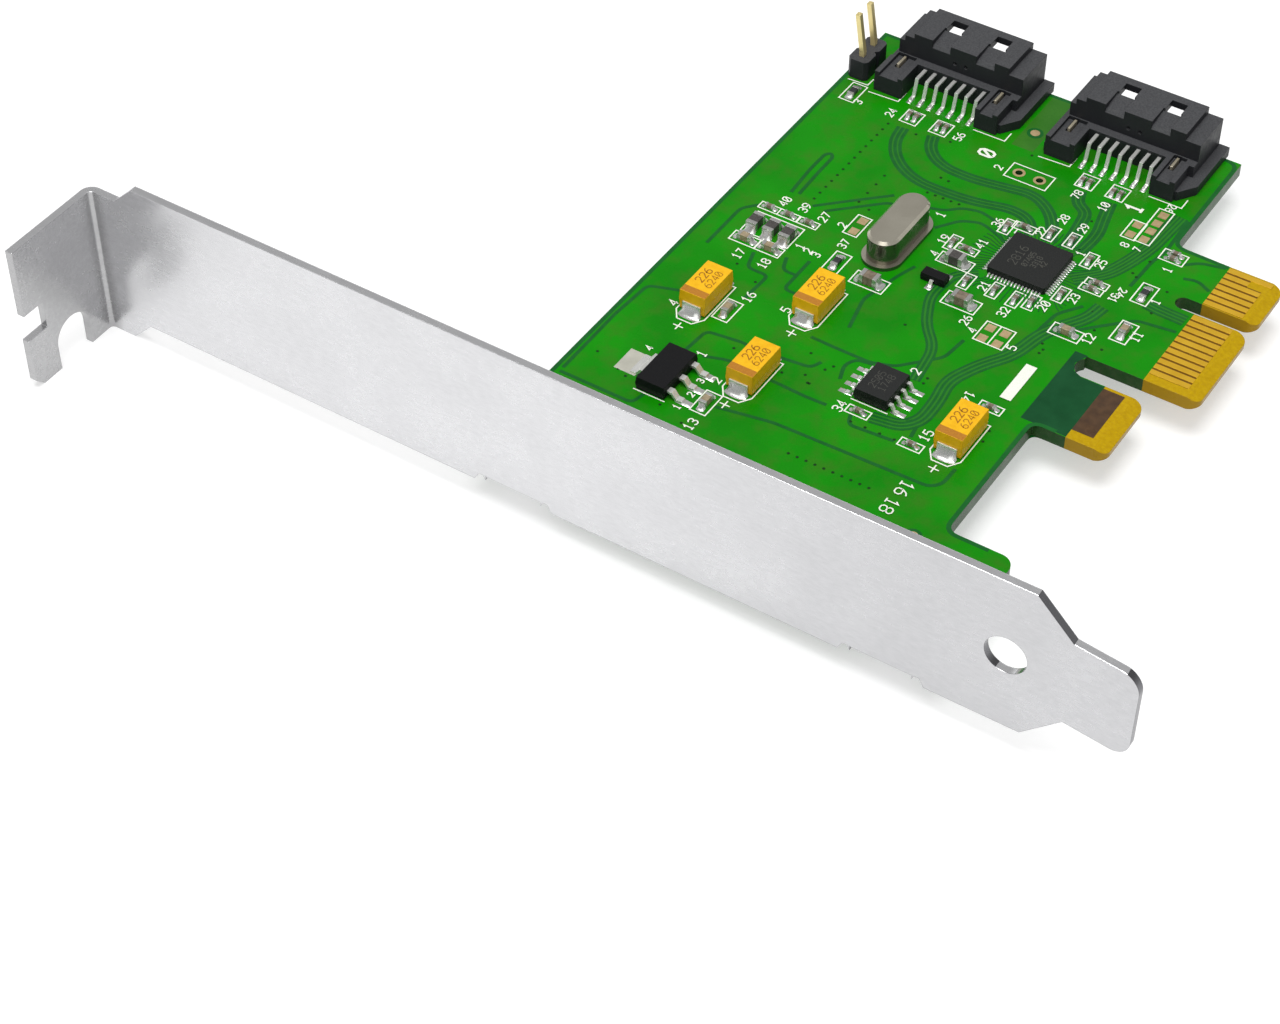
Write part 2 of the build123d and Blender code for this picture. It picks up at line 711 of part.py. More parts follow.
def header_pins():
    """Square pins that stand in the base and lean a little above it."""
    pins = []
    low, high = -face - header_pin_tail, face + header_pin_top
    bend = face + header_base_height + header_pin_width
    for x, y in header_places():
        lower = Pos(x, y, (low + bend) / 2) * Box(header_pin_width, header_pin_width, bend - low)
        upper = Pos(0, 0, (high - bend) / 2) * Box(header_pin_width, header_pin_width, high - bend)
        top = upper.faces().sort_by(Axis.Z)[-1]
        upper = chamfer(top.edges(), header_pin_width / 4)
        upper += Pos(0, 0, -header_pin_width / 4) * Box(header_pin_width, header_pin_width, header_pin_width / 2)
        pins.append(lower + Pos(x, y, bend) * Rot(header_pin_lean, -header_pin_side_lean, 0) * upper)
    return pins


# Crystal

def crystal_base():
    shape = SlotOverall(crystal_flange_length, crystal_flange_width, rotation=90)
    solid = extrude(shape, amount=crystal_flange_height)
    for y in row(2, crystal_lead_pitch):
        solid -= Pos(0, y, 0) * Cylinder(crystal_lead_radius + lead_hole_clearance, crystal_flange_height * 4)
    return Pos(crystal_x, crystal_y, face) * solid


def crystal_can():
    shape = SlotOverall(crystal_can_length, crystal_can_width, rotation=90)
    solid = extrude(shape, amount=crystal_height - crystal_flange_height)
    top = solid.faces().sort_by(Axis.Z)[-1]
    solid = chamfer(top.edges(), crystal_can_bevel)
    return Pos(crystal_x, crystal_y, face + crystal_flange_height) * solid


def crystal_leads():
    leads = []
    low, high = -face - crystal_lead_tail, face + crystal_flange_height
    for x, y in crystal_lead_places():
        leads.append(Pos(x, y, (low + high) / 2) * Cylinder(crystal_lead_radius, high - low))
    return leads


# Chips with leads

def controller_body():
    solid = extrude(Rectangle(controller_width, controller_width), amount=controller_height)
    upright = solid.edges().filter_by(Axis.Z)
    return Pos(controller_x, controller_y, face) * chamfer(upright, controller_lead_height)


def controller_lead_row():
    leads = []
    for turn in (0, 90, 180, 270):
        for y in row(controller_lead_count, controller_lead_pitch):
            lead = block(controller_width / 2, controller_width / 2 + controller_lead_reach,
                         y - controller_lead_width / 2, y + controller_lead_width / 2,
                         0, controller_lead_height)
            leads.append(Pos(controller_x, controller_y, face) * Rot(0, 0, turn) * lead)
    return leads


def gull_path(root, tip, height, thickness, knee=0.28, toe=0.42):
    """Centre line of a gull-wing lead, from inside the body's edge down to its pad."""
    run = tip - root
    return [(root - 2 * thickness, height), (root + knee * run, height),
            (tip - toe * run, thickness / 2), (tip, thickness / 2)]


def body_side(width, height, standoff):
    """Where a lead at mid height meets a moulded body."""
    return width / 2, standoff + (height - standoff) / 2


def memory_body():
    body = moulded(memory_width, memory_length, memory_height, memory_standoff)
    return Pos(memory_x, memory_y, face) * body


def memory_lead_rows():
    root, mid = body_side(memory_width, memory_height, memory_standoff)
    path = gull_path(root, memory_lead_span / 2, mid, memory_lead_thickness)
    lead = ribbon(path, memory_lead_thickness, memory_lead_width)
    trim = moulded(memory_width, memory_length, memory_height, memory_standoff)
    leads = []
    for turn in (0, 180):
        for y in row(memory_lead_count, memory_lead_pitch):
            leads.append(Pos(memory_x, memory_y, face) * (Rot(0, 0, turn) * Pos(0, y, 0) * lead - trim))
    return leads


def regulator_body():
    body = moulded(regulator_width, regulator_length, regulator_height, regulator_standoff)
    return Pos(regulator_x, regulator_y, face) * body


def regulator_leads():
    root, mid = body_side(regulator_width, regulator_height, regulator_standoff)
    path = gull_path(root, regulator_lead_span / 2, mid, regulator_lead_thickness)
    lead = ribbon(path, regulator_lead_thickness, regulator_lead_width)
    tab = ribbon(path, regulator_lead_thickness, regulator_tab_width)
    trim = moulded(regulator_width, regulator_length, regulator_height, regulator_standoff)
    place = Pos(regulator_x, regulator_y, face)
    leads = [place * (Pos(0, y, 0) * lead - trim) for y in row(3, regulator_lead_pitch)]
    return leads + [place * (Rot(0, 0, 180) * tab - trim)]


def transistor_body():
    body = moulded(transistor_length, transistor_width, transistor_height, transistor_standoff)
    return Pos(transistor_x, transistor_y, face) * body


def transistor_leads():
    root, mid = body_side(transistor_width, transistor_height, transistor_standoff)
    path = gull_path(root, transistor_lead_span / 2, mid, transistor_lead_thickness)
    lead = ribbon(path, transistor_lead_thickness, transistor_lead_width)
    trim = moulded(transistor_length, transistor_width, transistor_height, transistor_standoff)
    place = Pos(transistor_x, transistor_y, face)
    near = [place * (Rot(0, 0, -90) * lead - trim)]
    far = [place * (Pos(x, 0, 0) * Rot(0, 0, 90) * lead - trim) for x in row(2, transistor_lead_pitch)]
    return near + far


# Capacitors, inductors and resistors

def tantalum_body():
    """A moulded body, drafted from mid height, seated on its two folded terminals."""
    body = moulded(tantalum_width, tantalum_length - 2 * tantalum_foil, tantalum_height, tantalum_foil, draft=3)
    return body


def tantalum_terminals():
    """Each terminal comes out at mid height, lies down the end and folds in underneath."""
    half = tantalum_length / 2
    foil = tantalum_foil
    terminals = []
    for turn in (0, 180):
        side = outline([(half, 0), (half, tantalum_terminal_height),
                        (half - foil, tantalum_terminal_height), (half - foil, foil),
                        (half - tantalum_foot, foil), (half - tantalum_foot, 0)], Plane.YZ)
        strap = extrude(side, amount=tantalum_terminal_width / 2, both=True)
        terminals.append(Rot(0, 0, turn) * strap)
    return terminals


def chip_part(size):
    """A ceramic block and its two end caps, lying along X."""
    length, width, height, cap = size
    middle = block(-length / 2 + cap, length / 2 - cap, -width / 2 + 0.02, width / 2 - 0.02, 0.02, height - 0.02)
    ends = [block(-length / 2, -length / 2 + cap, -width / 2, width / 2, 0, height),
            block(length / 2 - cap, length / 2, -width / 2, width / 2, 0, height)]
    return middle, ends


def chip_group(size, places_x, places_y=()):
    """Middles and end caps of all parts of one size, along X and along Y."""
    middle, ends = chip_part(size)
    spots = [(x, y, 0) for x, y in places_x] + [(x, y, 90) for x, y in places_y]
    middles = [Pos(x, y, face) * Rot(0, 0, turn) * middle for x, y, turn in spots]
    caps = [Pos(x, y, face) * Rot(0, 0, turn) * end for x, y, turn in spots for end in ends]
    return middles, caps


def signal_pairs():
    """Coupling capacitors in the port's signal lines, two side by side at each pair."""
    toe_y = mouth_y - port_depth - port_ledge - port_lead_toe
    y = toe_y - signal_pair_setback
    return [(middle + offset + side, y) for middle in port_middles for offset in signal_pair_offsets
            for side in row(2, signal_pair_spacing)]


def main():
    os.makedirs("parts", exist_ok=True)
    save("board", [board()])
    save("edge_contacts", edge_contacts())
    save("bare_pads", bare_pad_foils())
    save("bracket", bracket())
    save("bracket_screws", bracket_screws())

    housing, terminals, clips = port_housing(), port_terminals(), port_clips()
    for number, x in enumerate(port_middles):
        place = Pos(x, mouth_y, face)
        save(f"port_{number}_housing", [place * housing])
        save(f"port_{number}_terminals", [place * piece for piece in terminals])
        save(f"port_{number}_clips", [place * piece for piece in clips])

    save("header_base", [header_base()])
    save("header_pins", header_pins())
    save("crystal_base", [crystal_base()])
    save("crystal_can", [crystal_can()])
    save("crystal_leads", crystal_leads())
    save("controller_body", [controller_body()])
    save("controller_leads", controller_lead_row())
    save("memory_body", [memory_body()])
    save("memory_leads", memory_lead_rows())
    save("regulator_body", [regulator_body()])
    save("regulator_leads", regulator_leads())
    save("transistor_body", [transistor_body()])
    save("transistor_leads", transistor_leads())

    body, terminals = tantalum_body(), tantalum_terminals()
    for number, (x, y) in enumerate(tantalum_places, 1):
        place = Pos(x, y, face)
        save(f"tantalum_{number}_body", [place * body])
        save(f"tantalum_{number}_terminals", [place * piece for piece in terminals])

    groups = {
        "small_capacitor": chip_group(
            small_chip, small_capacitors_x + from_top(upper_small_capacitors_x) + contact_capacitors_x,
            small_capacitors_y + signal_pairs()),
        "medium_capacitor": chip_group(
            medium_chip, medium_capacitors_x + from_top(upper_medium_capacitors_x),
            medium_capacitors_y + from_top(upper_medium_capacitors_y)),
        "large_capacitor": chip_group(large_chip, from_top(upper_large_capacitors_x) + large_capacitors_x),
        "inductor": chip_group(large_chip, inductors_x, from_top(upper_inductors_y)),
        "resistor": chip_group(medium_resistor, [], medium_resistors_y + from_top(upper_medium_resistors_y)),
    }
    for name, (middles, caps) in groups.items():
        save(f"{name}_bodies", middles)
        save(f"{name}_ends", caps)


main()
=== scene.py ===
import bpy
import json
import math
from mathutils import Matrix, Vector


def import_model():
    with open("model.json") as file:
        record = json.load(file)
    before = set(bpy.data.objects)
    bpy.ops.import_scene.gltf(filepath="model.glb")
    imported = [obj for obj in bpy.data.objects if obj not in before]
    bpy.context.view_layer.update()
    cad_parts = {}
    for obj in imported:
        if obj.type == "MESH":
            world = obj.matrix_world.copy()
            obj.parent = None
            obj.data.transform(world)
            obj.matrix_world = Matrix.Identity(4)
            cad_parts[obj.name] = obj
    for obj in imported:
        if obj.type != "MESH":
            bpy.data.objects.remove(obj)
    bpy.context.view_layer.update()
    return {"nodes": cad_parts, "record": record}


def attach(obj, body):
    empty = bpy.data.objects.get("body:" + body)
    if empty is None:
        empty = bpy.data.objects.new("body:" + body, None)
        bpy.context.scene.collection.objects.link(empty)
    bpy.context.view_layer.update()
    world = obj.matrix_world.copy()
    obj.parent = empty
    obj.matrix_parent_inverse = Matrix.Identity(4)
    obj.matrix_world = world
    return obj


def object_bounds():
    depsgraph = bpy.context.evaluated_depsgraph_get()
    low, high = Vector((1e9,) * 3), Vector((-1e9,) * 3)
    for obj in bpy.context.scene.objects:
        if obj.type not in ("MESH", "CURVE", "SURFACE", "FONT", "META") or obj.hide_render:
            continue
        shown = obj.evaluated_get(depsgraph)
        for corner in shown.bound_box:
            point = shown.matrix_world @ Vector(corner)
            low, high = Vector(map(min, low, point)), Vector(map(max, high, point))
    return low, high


# A drive controller card on its slot bracket, lying on a pale studio floor.
# Sizes below are in millimetres, in the same frame as the solids. Meshes are made in metres.

MM = 0.001
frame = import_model()

# Board face, and the thin layers that lie on it
FACE = 0.785
TRACE_GAP_Z = 0.005
TRACE_Z = 0.020
SILK_Z = 0.034
PAD_Z = 0.04
PRINT_LIFT = 0.012
PATH_STEP = 0.0003            # each path lies a little above the one before
SHARPEST_MITRE = 0.35         # keeps a sharp corner from running far out
RUN_DIVISOR = 2.05            # a rounded corner takes a little less than half of each run

# Places and sizes of the parts, as the solids have them
PORTS = (-45.49, -23.68)      # middles along X
PORT_PADS_Y = 15.0
PORT_TOE = 0.05               # a lead's toe, from the middle of its pad
PORT_LEADS = 7
PORT_LEAD_PITCH = 1.27
CONTROLLER = (-24.35, -3.5)
CONTROLLER_TOP = 0.9
CONTROLLER_TOES = 3.75        # out from the middle
CONTROLLER_LEADS = 16         # on each side
CONTROLLER_LEAD_PITCH = 0.4
MEMORY = (-27.85, -29.4)
MEMORY_TOP = 1.5
MEMORY_TOES = 3.05            # out from the middle
MEMORY_LEADS = 4              # on each side
MEMORY_LEAD_PITCH = 1.27
REGULATOR_PADS = (-43.9, -39.4)
REGULATOR_TOE = 0.1           # a lead's toe, from the middle of its pad
REGULATOR_LEADS = 3
REGULATOR_LEAD_PITCH = 2.3
REGULATOR_TAB = (-51.6, -39.4)
# Each toe's place, and the direction that it points in
TRANSISTOR_TOES = ((-31.75, -12.35, -90), (-32.7, -9.85, 90), (-30.8, -9.85, 90))
TANTALUMS = ((-50.6, -26.8), (-40.1, -21.3), (-40.15, -34.4), (-17.85, -31.0))
TANTALUM_TOP = 2.6
TANTALUM_END = 3.0            # out from the middle
# Small chip capacitors that lie along Y
SMALL_ALONG_Y = [(-33.1, -4.55), (-28.85, -9.4), (-25.6, -9.05), (-23.1, -9.2), (-21.45, -8.65),
                 (-19.4, -5.85), (-19.4, 0.8), (-22.45, 2.75), (-24.9, 2.6), (-29.45, 1.05)]
PORT_PAIRS_X = (-2.05, 1.7)   # each port's two pairs, from its middle
PORT_PAIRS_Y = 12.5
PAIR_HALF = 0.43

# Camera that took the photograph
CAMERA_PLACE = (69.48, -225.25, 201.75)
CAMERA_TURN = (44.860, -0.073, 32.964)
CAMERA_LENS = 81.45
SENSOR = 36.0


# Meshes

def row(count, pitch):
    """Places of an even row, about its middle."""
    return [(i - (count - 1) / 2) * pitch for i in range(count)]


def normal_of(a, b):
    """The unit normal to the left of the run from a to b."""
    dx, dy = b[0] - a[0], b[1] - a[1]
    size = math.hypot(dx, dy) or 1e-9
    return -dy / size, dx / size


def reached(place, turn, out, along):
    """The spot that lies out and along from a place, in directions turned by degrees about Z."""
    c, s = math.cos(math.radians(turn)), math.sin(math.radians(turn))
    return place[0] + out * c - along * s, place[1] + out * s + along * c


def corners(x, y, width, length):
    w, h = width / 2, length / 2
    return [(x - w, y - h), (x + w, y - h), (x + w, y + h), (x - w, y + h)]


def piece(name, points, faces, material, smooth=False):
    """A mesh in millimetres that rides on the card."""
    mesh = bpy.data.meshes.new(name)
    mesh.from_pydata([tuple(c * MM for c in p) for p in points], [], faces)
    mesh.validate()
    mesh.update()
    mesh.materials.append(material)
    for polygon in mesh.polygons:
        polygon.use_smooth = smooth
    obj = bpy.data.objects.new(name, mesh)
    bpy.context.scene.collection.objects.link(obj)
    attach(obj, "root")


class Sheet:
    """Flat shapes that share one material and one height, gathered into one mesh."""

    def __init__(self, height):
        self.height = height
        self.points, self.faces, self.paths = [], [], 0

    def polygon(self, outline):
        start = len(self.points)
        z = self.height + self.paths * PATH_STEP
        self.points += [(x, y, z) for x, y in outline]
        self.faces.append(tuple(range(start, len(self.points))))

    def rectangle(self, x, y, width, length):
        self.polygon(corners(x, y, width, length))

    def disc(self, x, y, radius, count):
        self.polygon([(x + radius * math.cos(2 * math.pi * i / count),
                       y + radius * math.sin(2 * math.pi * i / count)) for i in range(count)])

    def line(self, path, width, closed=False):
        """A mitred line of one width along a path."""
        self.paths += 1
        count = len(path)
        left, right = [], []
        for i, (x, y) in enumerate(path):
            runs = []
            if closed or i > 0:
                runs.append(normal_of(path[i - 1], (x, y)))
            if closed or i < count - 1:
                runs.append(normal_of((x, y), path[(i + 1) % count]))
            nx, ny = sum(r[0] for r in runs), sum(r[1] for r in runs)
            size = math.hypot(nx, ny) or 1e-9
            nx, ny = nx / size, ny / size
            reach = width / 2 / max(SHARPEST_MITRE, nx * runs[0][0] + ny * runs[0][1])
            left.append((x + nx * reach, y + ny * reach))
            right.append((x - nx * reach, y - ny * reach))
        for i in range(count if closed else count - 1):
            j = (i + 1) % count
            self.polygon([right[i], right[j], left[j], left[i]])

    def build(self, name, material, slot, below=False):
        if below:
            self.points = [(x, y, -z) for x, y, z in self.points]
            self.faces = [f[::-1] for f in self.faces]
        piece(name, self.points, self.faces, material)


def rounded(path, radius, steps=5):
    """A path with its inner corners turned into arcs."""
    result = [path[0]]
    for a, b, c in zip(path, path[1:], path[2:]):
        ab = (a[0] - b[0], a[1] - b[1])
        cb = (c[0] - b[0], c[1] - b[1])
        la, lc = math.hypot(*ab), math.hypot(*cb)
        reach = min(radius, la / RUN_DIVISOR, lc / RUN_DIVISOR)
        start = (b[0] + ab[0] / la * reach, b[1] + ab[1] / la * reach)
        end = (b[0] + cb[0] / lc * reach, b[1] + cb[1] / lc * reach)
        for i in range(steps + 1):
            t = i / steps
            x = (1 - t) ** 2 * start[0] + 2 * t * (1 - t) * b[0] + t * t * end[0]
            y = (1 - t) ** 2 * start[1] + 2 * t * (1 - t) * b[1] + t * t * end[1]
            result.append((x, y))
    return result + [path[-1]]


def offset_path(path, distance):
    """A path moved sideways by one distance."""
    result = []
    for i, (x, y) in enumerate(path):
        nx, ny = normal_of(path[max(i - 1, 0)], path[min(i + 1, len(path) - 1)])
        result.append((x + nx * distance, y + ny * distance))
    return result


# Materials

EDGE_SAMPLES = 8              # for edges that look rounded


def nodes_of(material):
    material.use_nodes = True
    tree = material.node_tree
    return tree, tree.links, tree.nodes["Principled BSDF"]


def object_place(tree):
    return tree.nodes.new("ShaderNodeTexCoord").outputs["Object"]


def noise(tree, scale, detail=3.0, rough=0.5, place=None):
    """Noise whose features are about 1/scale metres across."""
    node = tree.nodes.new("ShaderNodeTexNoise")
    for name, value in (("Scale", scale), ("Detail", detail), ("Roughness", rough)):
        node.inputs[name].default_value = value
    tree.links.new(place or object_place(tree), node.inputs["Vector"])
    return node.outputs["Fac"]


def ramp(tree, source, stops):
    node = tree.nodes.new("ShaderNodeValToRGB")
    while len(node.color_ramp.elements) < len(stops):
        node.color_ramp.elements.new(0.5)
    for element, (place, color) in zip(node.color_ramp.elements, stops):
        element.position = place
        element.color = (*color, 1.0)
    tree.links.new(source, node.inputs["Fac"])
    return node.outputs["Color"]


def map_range(tree, source, from_low, from_high, to_low=0.0, to_high=1.0):
    node = tree.nodes.new("ShaderNodeMapRange")
    for name, value in (("From Min", from_low), ("From Max", from_high),
                        ("To Min", to_low), ("To Max", to_high)):
        node.inputs[name].default_value = value
    tree.links.new(source, node.inputs["Value"])
    return node.outputs["Result"]


def span(tree, source, low, high):
    """Noise mapped from its usual middle range to low..high."""
    return map_range(tree, source, 0.3, 0.7, low, high)


def split_xyz(tree, source):
    node = tree.nodes.new("ShaderNodeSeparateXYZ")
    tree.links.new(source, node.inputs[0])
    return node.outputs


def face_normal(tree):
    return split_xyz(tree, tree.nodes.new("ShaderNodeNewGeometry").outputs["True Normal"])


def bump(tree, source, strength, distance_mm, rounding_mm=0.0):
    """A relief, with edges that look rounded where a rounding is given."""
    node = tree.nodes.new("ShaderNodeBump")
    node.inputs["Strength"].default_value = strength
    node.inputs["Distance"].default_value = distance_mm * MM
    tree.links.new(source, node.inputs["Height"])
    if rounding_mm:
        edge = tree.nodes.new("ShaderNodeBevel")
        edge.samples = EDGE_SAMPLES
        edge.inputs["Radius"].default_value = rounding_mm * MM
        tree.links.new(edge.outputs["Normal"], node.inputs["Normal"])
    return node.outputs["Normal"]


def math_node(tree, operation, a, b=None):
    node = tree.nodes.new("ShaderNodeMath")
    node.operation = operation
    for socket, value in zip(node.inputs, (a, b)):
        if value is None:
            continue
        if isinstance(value, (int, float)):
            socket.default_value = value
        else:
            tree.links.new(value, socket)
    return node.outputs[0]


def past(tree, value, limit_mm):
    return math_node(tree, "GREATER_THAN", value, limit_mm * MM)


def before(tree, value, limit_mm):
    return math_node(tree, "LESS_THAN", value, limit_mm * MM)


def both(tree, a, b):
    return math_node(tree, "MULTIPLY", a, b)


def either(tree, a, b):
    return math_node(tree, "MAXIMUM", a, b)


def lies_flat(tree, limit):
    """1 on faces that look up or down, by the Z of their normal."""
    return math_node(tree, "GREATER_THAN", math_node(tree, "ABSOLUTE", face_normal(tree)["Z"]), limit)


def mix(tree, factor, a, b):
    node = tree.nodes.new("ShaderNodeMix")
    node.data_type = "RGBA"
    for socket, value in ((node.inputs[0], factor), (node.inputs[6], a), (node.inputs[7], b)):
        if isinstance(value, tuple):
            socket.default_value = (*value, 1.0)
        else:
            tree.links.new(value, socket)
    return node.outputs[2]


def finish(name, dark, light, rough, metal=0.0, grain_mm=0.5, rough_spread=0.06, bump_mm=0.004,
           rounding_mm=0.0, specular=0.5):
    """A shader with two close colours, uneven gloss and a fine relief, all from noise."""
    material = bpy.data.materials.new(name)
    tree, links, shader = nodes_of(material)
    grain = noise(tree, 1000.0 / grain_mm)
    links.new(ramp(tree, grain, [(0.32, dark), (0.68, light)]), shader.inputs["Base Color"])
    links.new(span(tree, noise(tree, 350.0 / grain_mm), rough - rough_spread, rough + rough_spread),
              shader.inputs["Roughness"])
    shader.inputs["Metallic"].default_value = metal
    shader.inputs["Specular IOR Level"].default_value = specular
    links.new(bump(tree, grain, 0.5, bump_mm, rounding_mm), shader.inputs["Normal"])
    return material


def paint_shade_on_upright(material, color):
    """Upright faces take a painted shade: a deeper colour than the ones that lie flat."""
    tree, links, shader = nodes_of(material)
    flat_color = shader.inputs["Base Color"].links[0].from_socket
    links.new(mix(tree, lies_flat(tree, 0.4), color, flat_color), shader.inputs["Base Color"])


# Noise scales, in features per metre
MASK_CLOUDS = 90.0
MASK_MOTTLE = 420.0
MASK_GLOSS_SPOTS = 500.0
WOVEN_GRAIN = 2600.0
CUT_GRAIN = 900.0
SHEET_CLOUDS = 130.0
SHEET_GRAIN = 2600.0
SHEET_STRETCH = 0.35          # the grain is drawn out along the bracket
TANTALUM_GRAIN = 1600.0

MASK_GREEN = (0.006, 0.262, 0.0008)
MASK_GREEN_DEEP = (0.004, 0.205, 0.0008)
MASK_OLIVE = (0.046, 0.160, 0.010)
BARE_LAMINATE = (0.42, 0.255, 0.001)
BARE_LAMINATE_LIGHT = (0.50, 0.325, 0.002)
BARE_LAMINATE_SIDE = (0.40, 0.235, 0.006)
BETWEEN_CONTACTS = (0.150, 0.068, 0.006)
# The board's upright cut faces: the laminate's own dark green, deepened further by painted shade
LAMINATE_EDGE_SHADED = (0.010, 0.066, 0.008)
LAMINATE_EDGE_SHADED_LIGHT = (0.036, 0.078, 0.026)
MASK_GLOSS = (0.22, 0.34)
MASK_SPECULAR = 0.15
MOTTLE = (-0.25, 0.5)
# Fields of bare laminate between the contacts: low and high Y, and the end along X
CONTACT_FIELDS = ((-11.9, -1.1, -1.75), (1.1, 6.05, -1.75), (6.05, 7.9, -3.45))
MASK_END_X = -6.24
HOOK_MASK_END_X = -9.05
HOOK_FAR_Y = -14.6
HOOK_NEAR_Y = -34.0

# Dark and light of each stretch of the bracket. The plate by the tongue is darker by painted shade, the tab
# by a painted dark reflection, the upper cut edge is lighter by a painted highlight, and the slanted cut
# edges by the tongue are darker by painted shade.
PLATE = ((0.62, 0.62, 0.633), (0.69, 0.69, 0.703))
PLATE_SHADED_BY_TONGUE = ((0.52, 0.52, 0.532), (0.58, 0.58, 0.592))
TAB_DARK_REFLECTION = ((0.39, 0.39, 0.395), (0.46, 0.46, 0.465))
CUT_EDGE_HIGHLIGHT = (0.93, 0.93, 0.95)
SLANTED_EDGE_SHADE = (0.17, 0.17, 0.18)
# Where the painted dark reflection on the tab and the painted shade by the tongue fade in, along X
TAB_FADE = (-104.3, -103.1)
TONGUE_FADE = (-45.0, -8.0)
SHEET_GLOSS = (0.22, 0.30)
# The upper cut edge takes a painted highlight, and the slanted cut edges by the tongue take a painted shade
CUT_NORMAL_Z = 0.9            # faces of the sheet's upper cut edge look up more than this
SLANTED_NORMAL_X = 0.3        # and the cut edges towards the tongue look along X more than this

TANTALUM_YELLOW = (0.80, 0.415, 0.004)
TANTALUM_YELLOW_LIGHT = (0.88, 0.49, 0.007)


def board_material():
    """Green mask over copper, bare laminate at the contact edge, and dark cut edges, whose colour is the
    laminate's own deepened by painted shade.
    """
    material = bpy.data.materials.new("solder_mask")
    tree, links, shader = nodes_of(material)
    place = split_xyz(tree, object_place(tree))
    x, y = place["X"], place["Y"]

    on_tongue = both(tree, past(tree, x, MASK_END_X), past(tree, y, HOOK_FAR_Y))
    by_hook = both(tree, before(tree, y, HOOK_FAR_Y), past(tree, y, HOOK_NEAR_Y))
    on_hook = both(tree, past(tree, x, HOOK_MASK_END_X), by_hook)
    bare = either(tree, on_tongue, on_hook)
    between = None
    for low, high, end in CONTACT_FIELDS:
        field = both(tree, both(tree, past(tree, y, low), before(tree, y, high)), before(tree, x, end))
        between = field if between is None else either(tree, between, field)

    weave = noise(tree, WOVEN_GRAIN, 2.0)
    mottle = span(tree, noise(tree, MASK_MOTTLE, 3.0, 0.55), *MOTTLE)
    clouds = ramp(tree, noise(tree, MASK_CLOUDS, 2.0), [(0.35, MASK_GREEN_DEEP), (0.65, MASK_GREEN)])
    green = mix(tree, mottle, clouds, MASK_OLIVE)
    amber = ramp(tree, weave, [(0.3, BARE_LAMINATE), (0.7, BARE_LAMINATE_LIGHT)])
    # Upright cut faces: the laminate's colour deepened by painted shade
    edge = ramp(tree, noise(tree, CUT_GRAIN), [(0.3, LAMINATE_EDGE_SHADED), (0.7, LAMINATE_EDGE_SHADED_LIGHT)])
    side = mix(tree, bare, edge, BARE_LAMINATE_SIDE)
    face = mix(tree, bare, green, mix(tree, between, amber, BETWEEN_CONTACTS))
    links.new(mix(tree, lies_flat(tree, 0.5), side, face), shader.inputs["Base Color"])
    links.new(span(tree, noise(tree, MASK_GLOSS_SPOTS), *MASK_GLOSS), shader.inputs["Roughness"])
    shader.inputs["Specular IOR Level"].default_value = MASK_SPECULAR
    links.new(bump(tree, weave, 0.15, 0.008, 0.08), shader.inputs["Normal"])
    return material


def stretched(tree, along_x):
    """Object coordinates that draw a noise out along the bracket."""
    node = tree.nodes.new("ShaderNodeVectorMath")
    node.operation = "MULTIPLY"
    tree.links.new(object_place(tree), node.inputs[0])
    node.inputs[1].default_value = (along_x, 1.0, 1.0)
    return node.outputs["Vector"]


def sheet_metal():
    """Zinc-plated sheet: satin, with a grain drawn out along it and faint clouds; painted shade darkens the
    plate by the tongue, a painted dark reflection darkens the tab, a painted highlight lightens the upper cut
    edge, and painted shade darkens the slanted cut edges by the tongue.
    """
    material = bpy.data.materials.new("zinc_sheet")
    tree, links, shader = nodes_of(material)
    cloud = noise(tree, SHEET_CLOUDS)
    fine = noise(tree, SHEET_GRAIN, 2.0, 0.5, stretched(tree, SHEET_STRETCH))
    grain = math_node(tree, "ADD", math_node(tree, "MULTIPLY", cloud, 0.5),
                      math_node(tree, "MULTIPLY", fine, 0.5))
    # Plate, plate darkened by painted shade near the tongue, and tab darkened by a painted dark reflection
    plate, shaded_by_tongue, tab_dark_reflection = (ramp(tree, grain, [(0.36, dark), (0.64, light)])
                              for dark, light in (PLATE, PLATE_SHADED_BY_TONGUE, TAB_DARK_REFLECTION))
    x = split_xyz(tree, object_place(tree))["X"]
    near_tongue = map_range(tree, x, *(end * MM for end in TONGUE_FADE))
    off_tab = map_range(tree, x, *(end * MM for end in TAB_FADE))
    plate = mix(tree, off_tab, tab_dark_reflection, mix(tree, near_tongue, plate, shaded_by_tongue))

    # Painted highlight on the upper cut edge, painted shade on the slanted cut edges by the tongue
    normal = face_normal(tree)
    cut = math_node(tree, "GREATER_THAN", normal["Z"], CUT_NORMAL_Z)
    slanted = both(tree, near_tongue, math_node(tree, "GREATER_THAN", normal["X"], SLANTED_NORMAL_X))
    links.new(mix(tree, slanted, mix(tree, cut, plate, CUT_EDGE_HIGHLIGHT), SLANTED_EDGE_SHADE),
              shader.inputs["Base Color"])
    links.new(span(tree, grain, *SHEET_GLOSS), shader.inputs["Roughness"])
    shader.inputs["Metallic"].default_value = 1.0
    links.new(bump(tree, fine, 0.12, 0.002, 0.15), shader.inputs["Normal"])
    return material


def tantalum_material():
    """Yellow moulding with one fine grain in its colour, gloss and relief."""
    material = bpy.data.materials.new("tantalum_yellow")
    tree, links, shader = nodes_of(material)
    grain = noise(tree, TANTALUM_GRAIN)
    links.new(ramp(tree, grain, [(0.3, TANTALUM_YELLOW), (0.7, TANTALUM_YELLOW_LIGHT)]),
              shader.inputs["Base Color"])
    links.new(span(tree, grain, 0.34, 0.44), shader.inputs["Roughness"])
    shader.inputs["Specular IOR Level"].default_value = 0.3
    links.new(bump(tree, grain, 0.3, 0.006, 0.12), shader.inputs["Normal"])
    return material


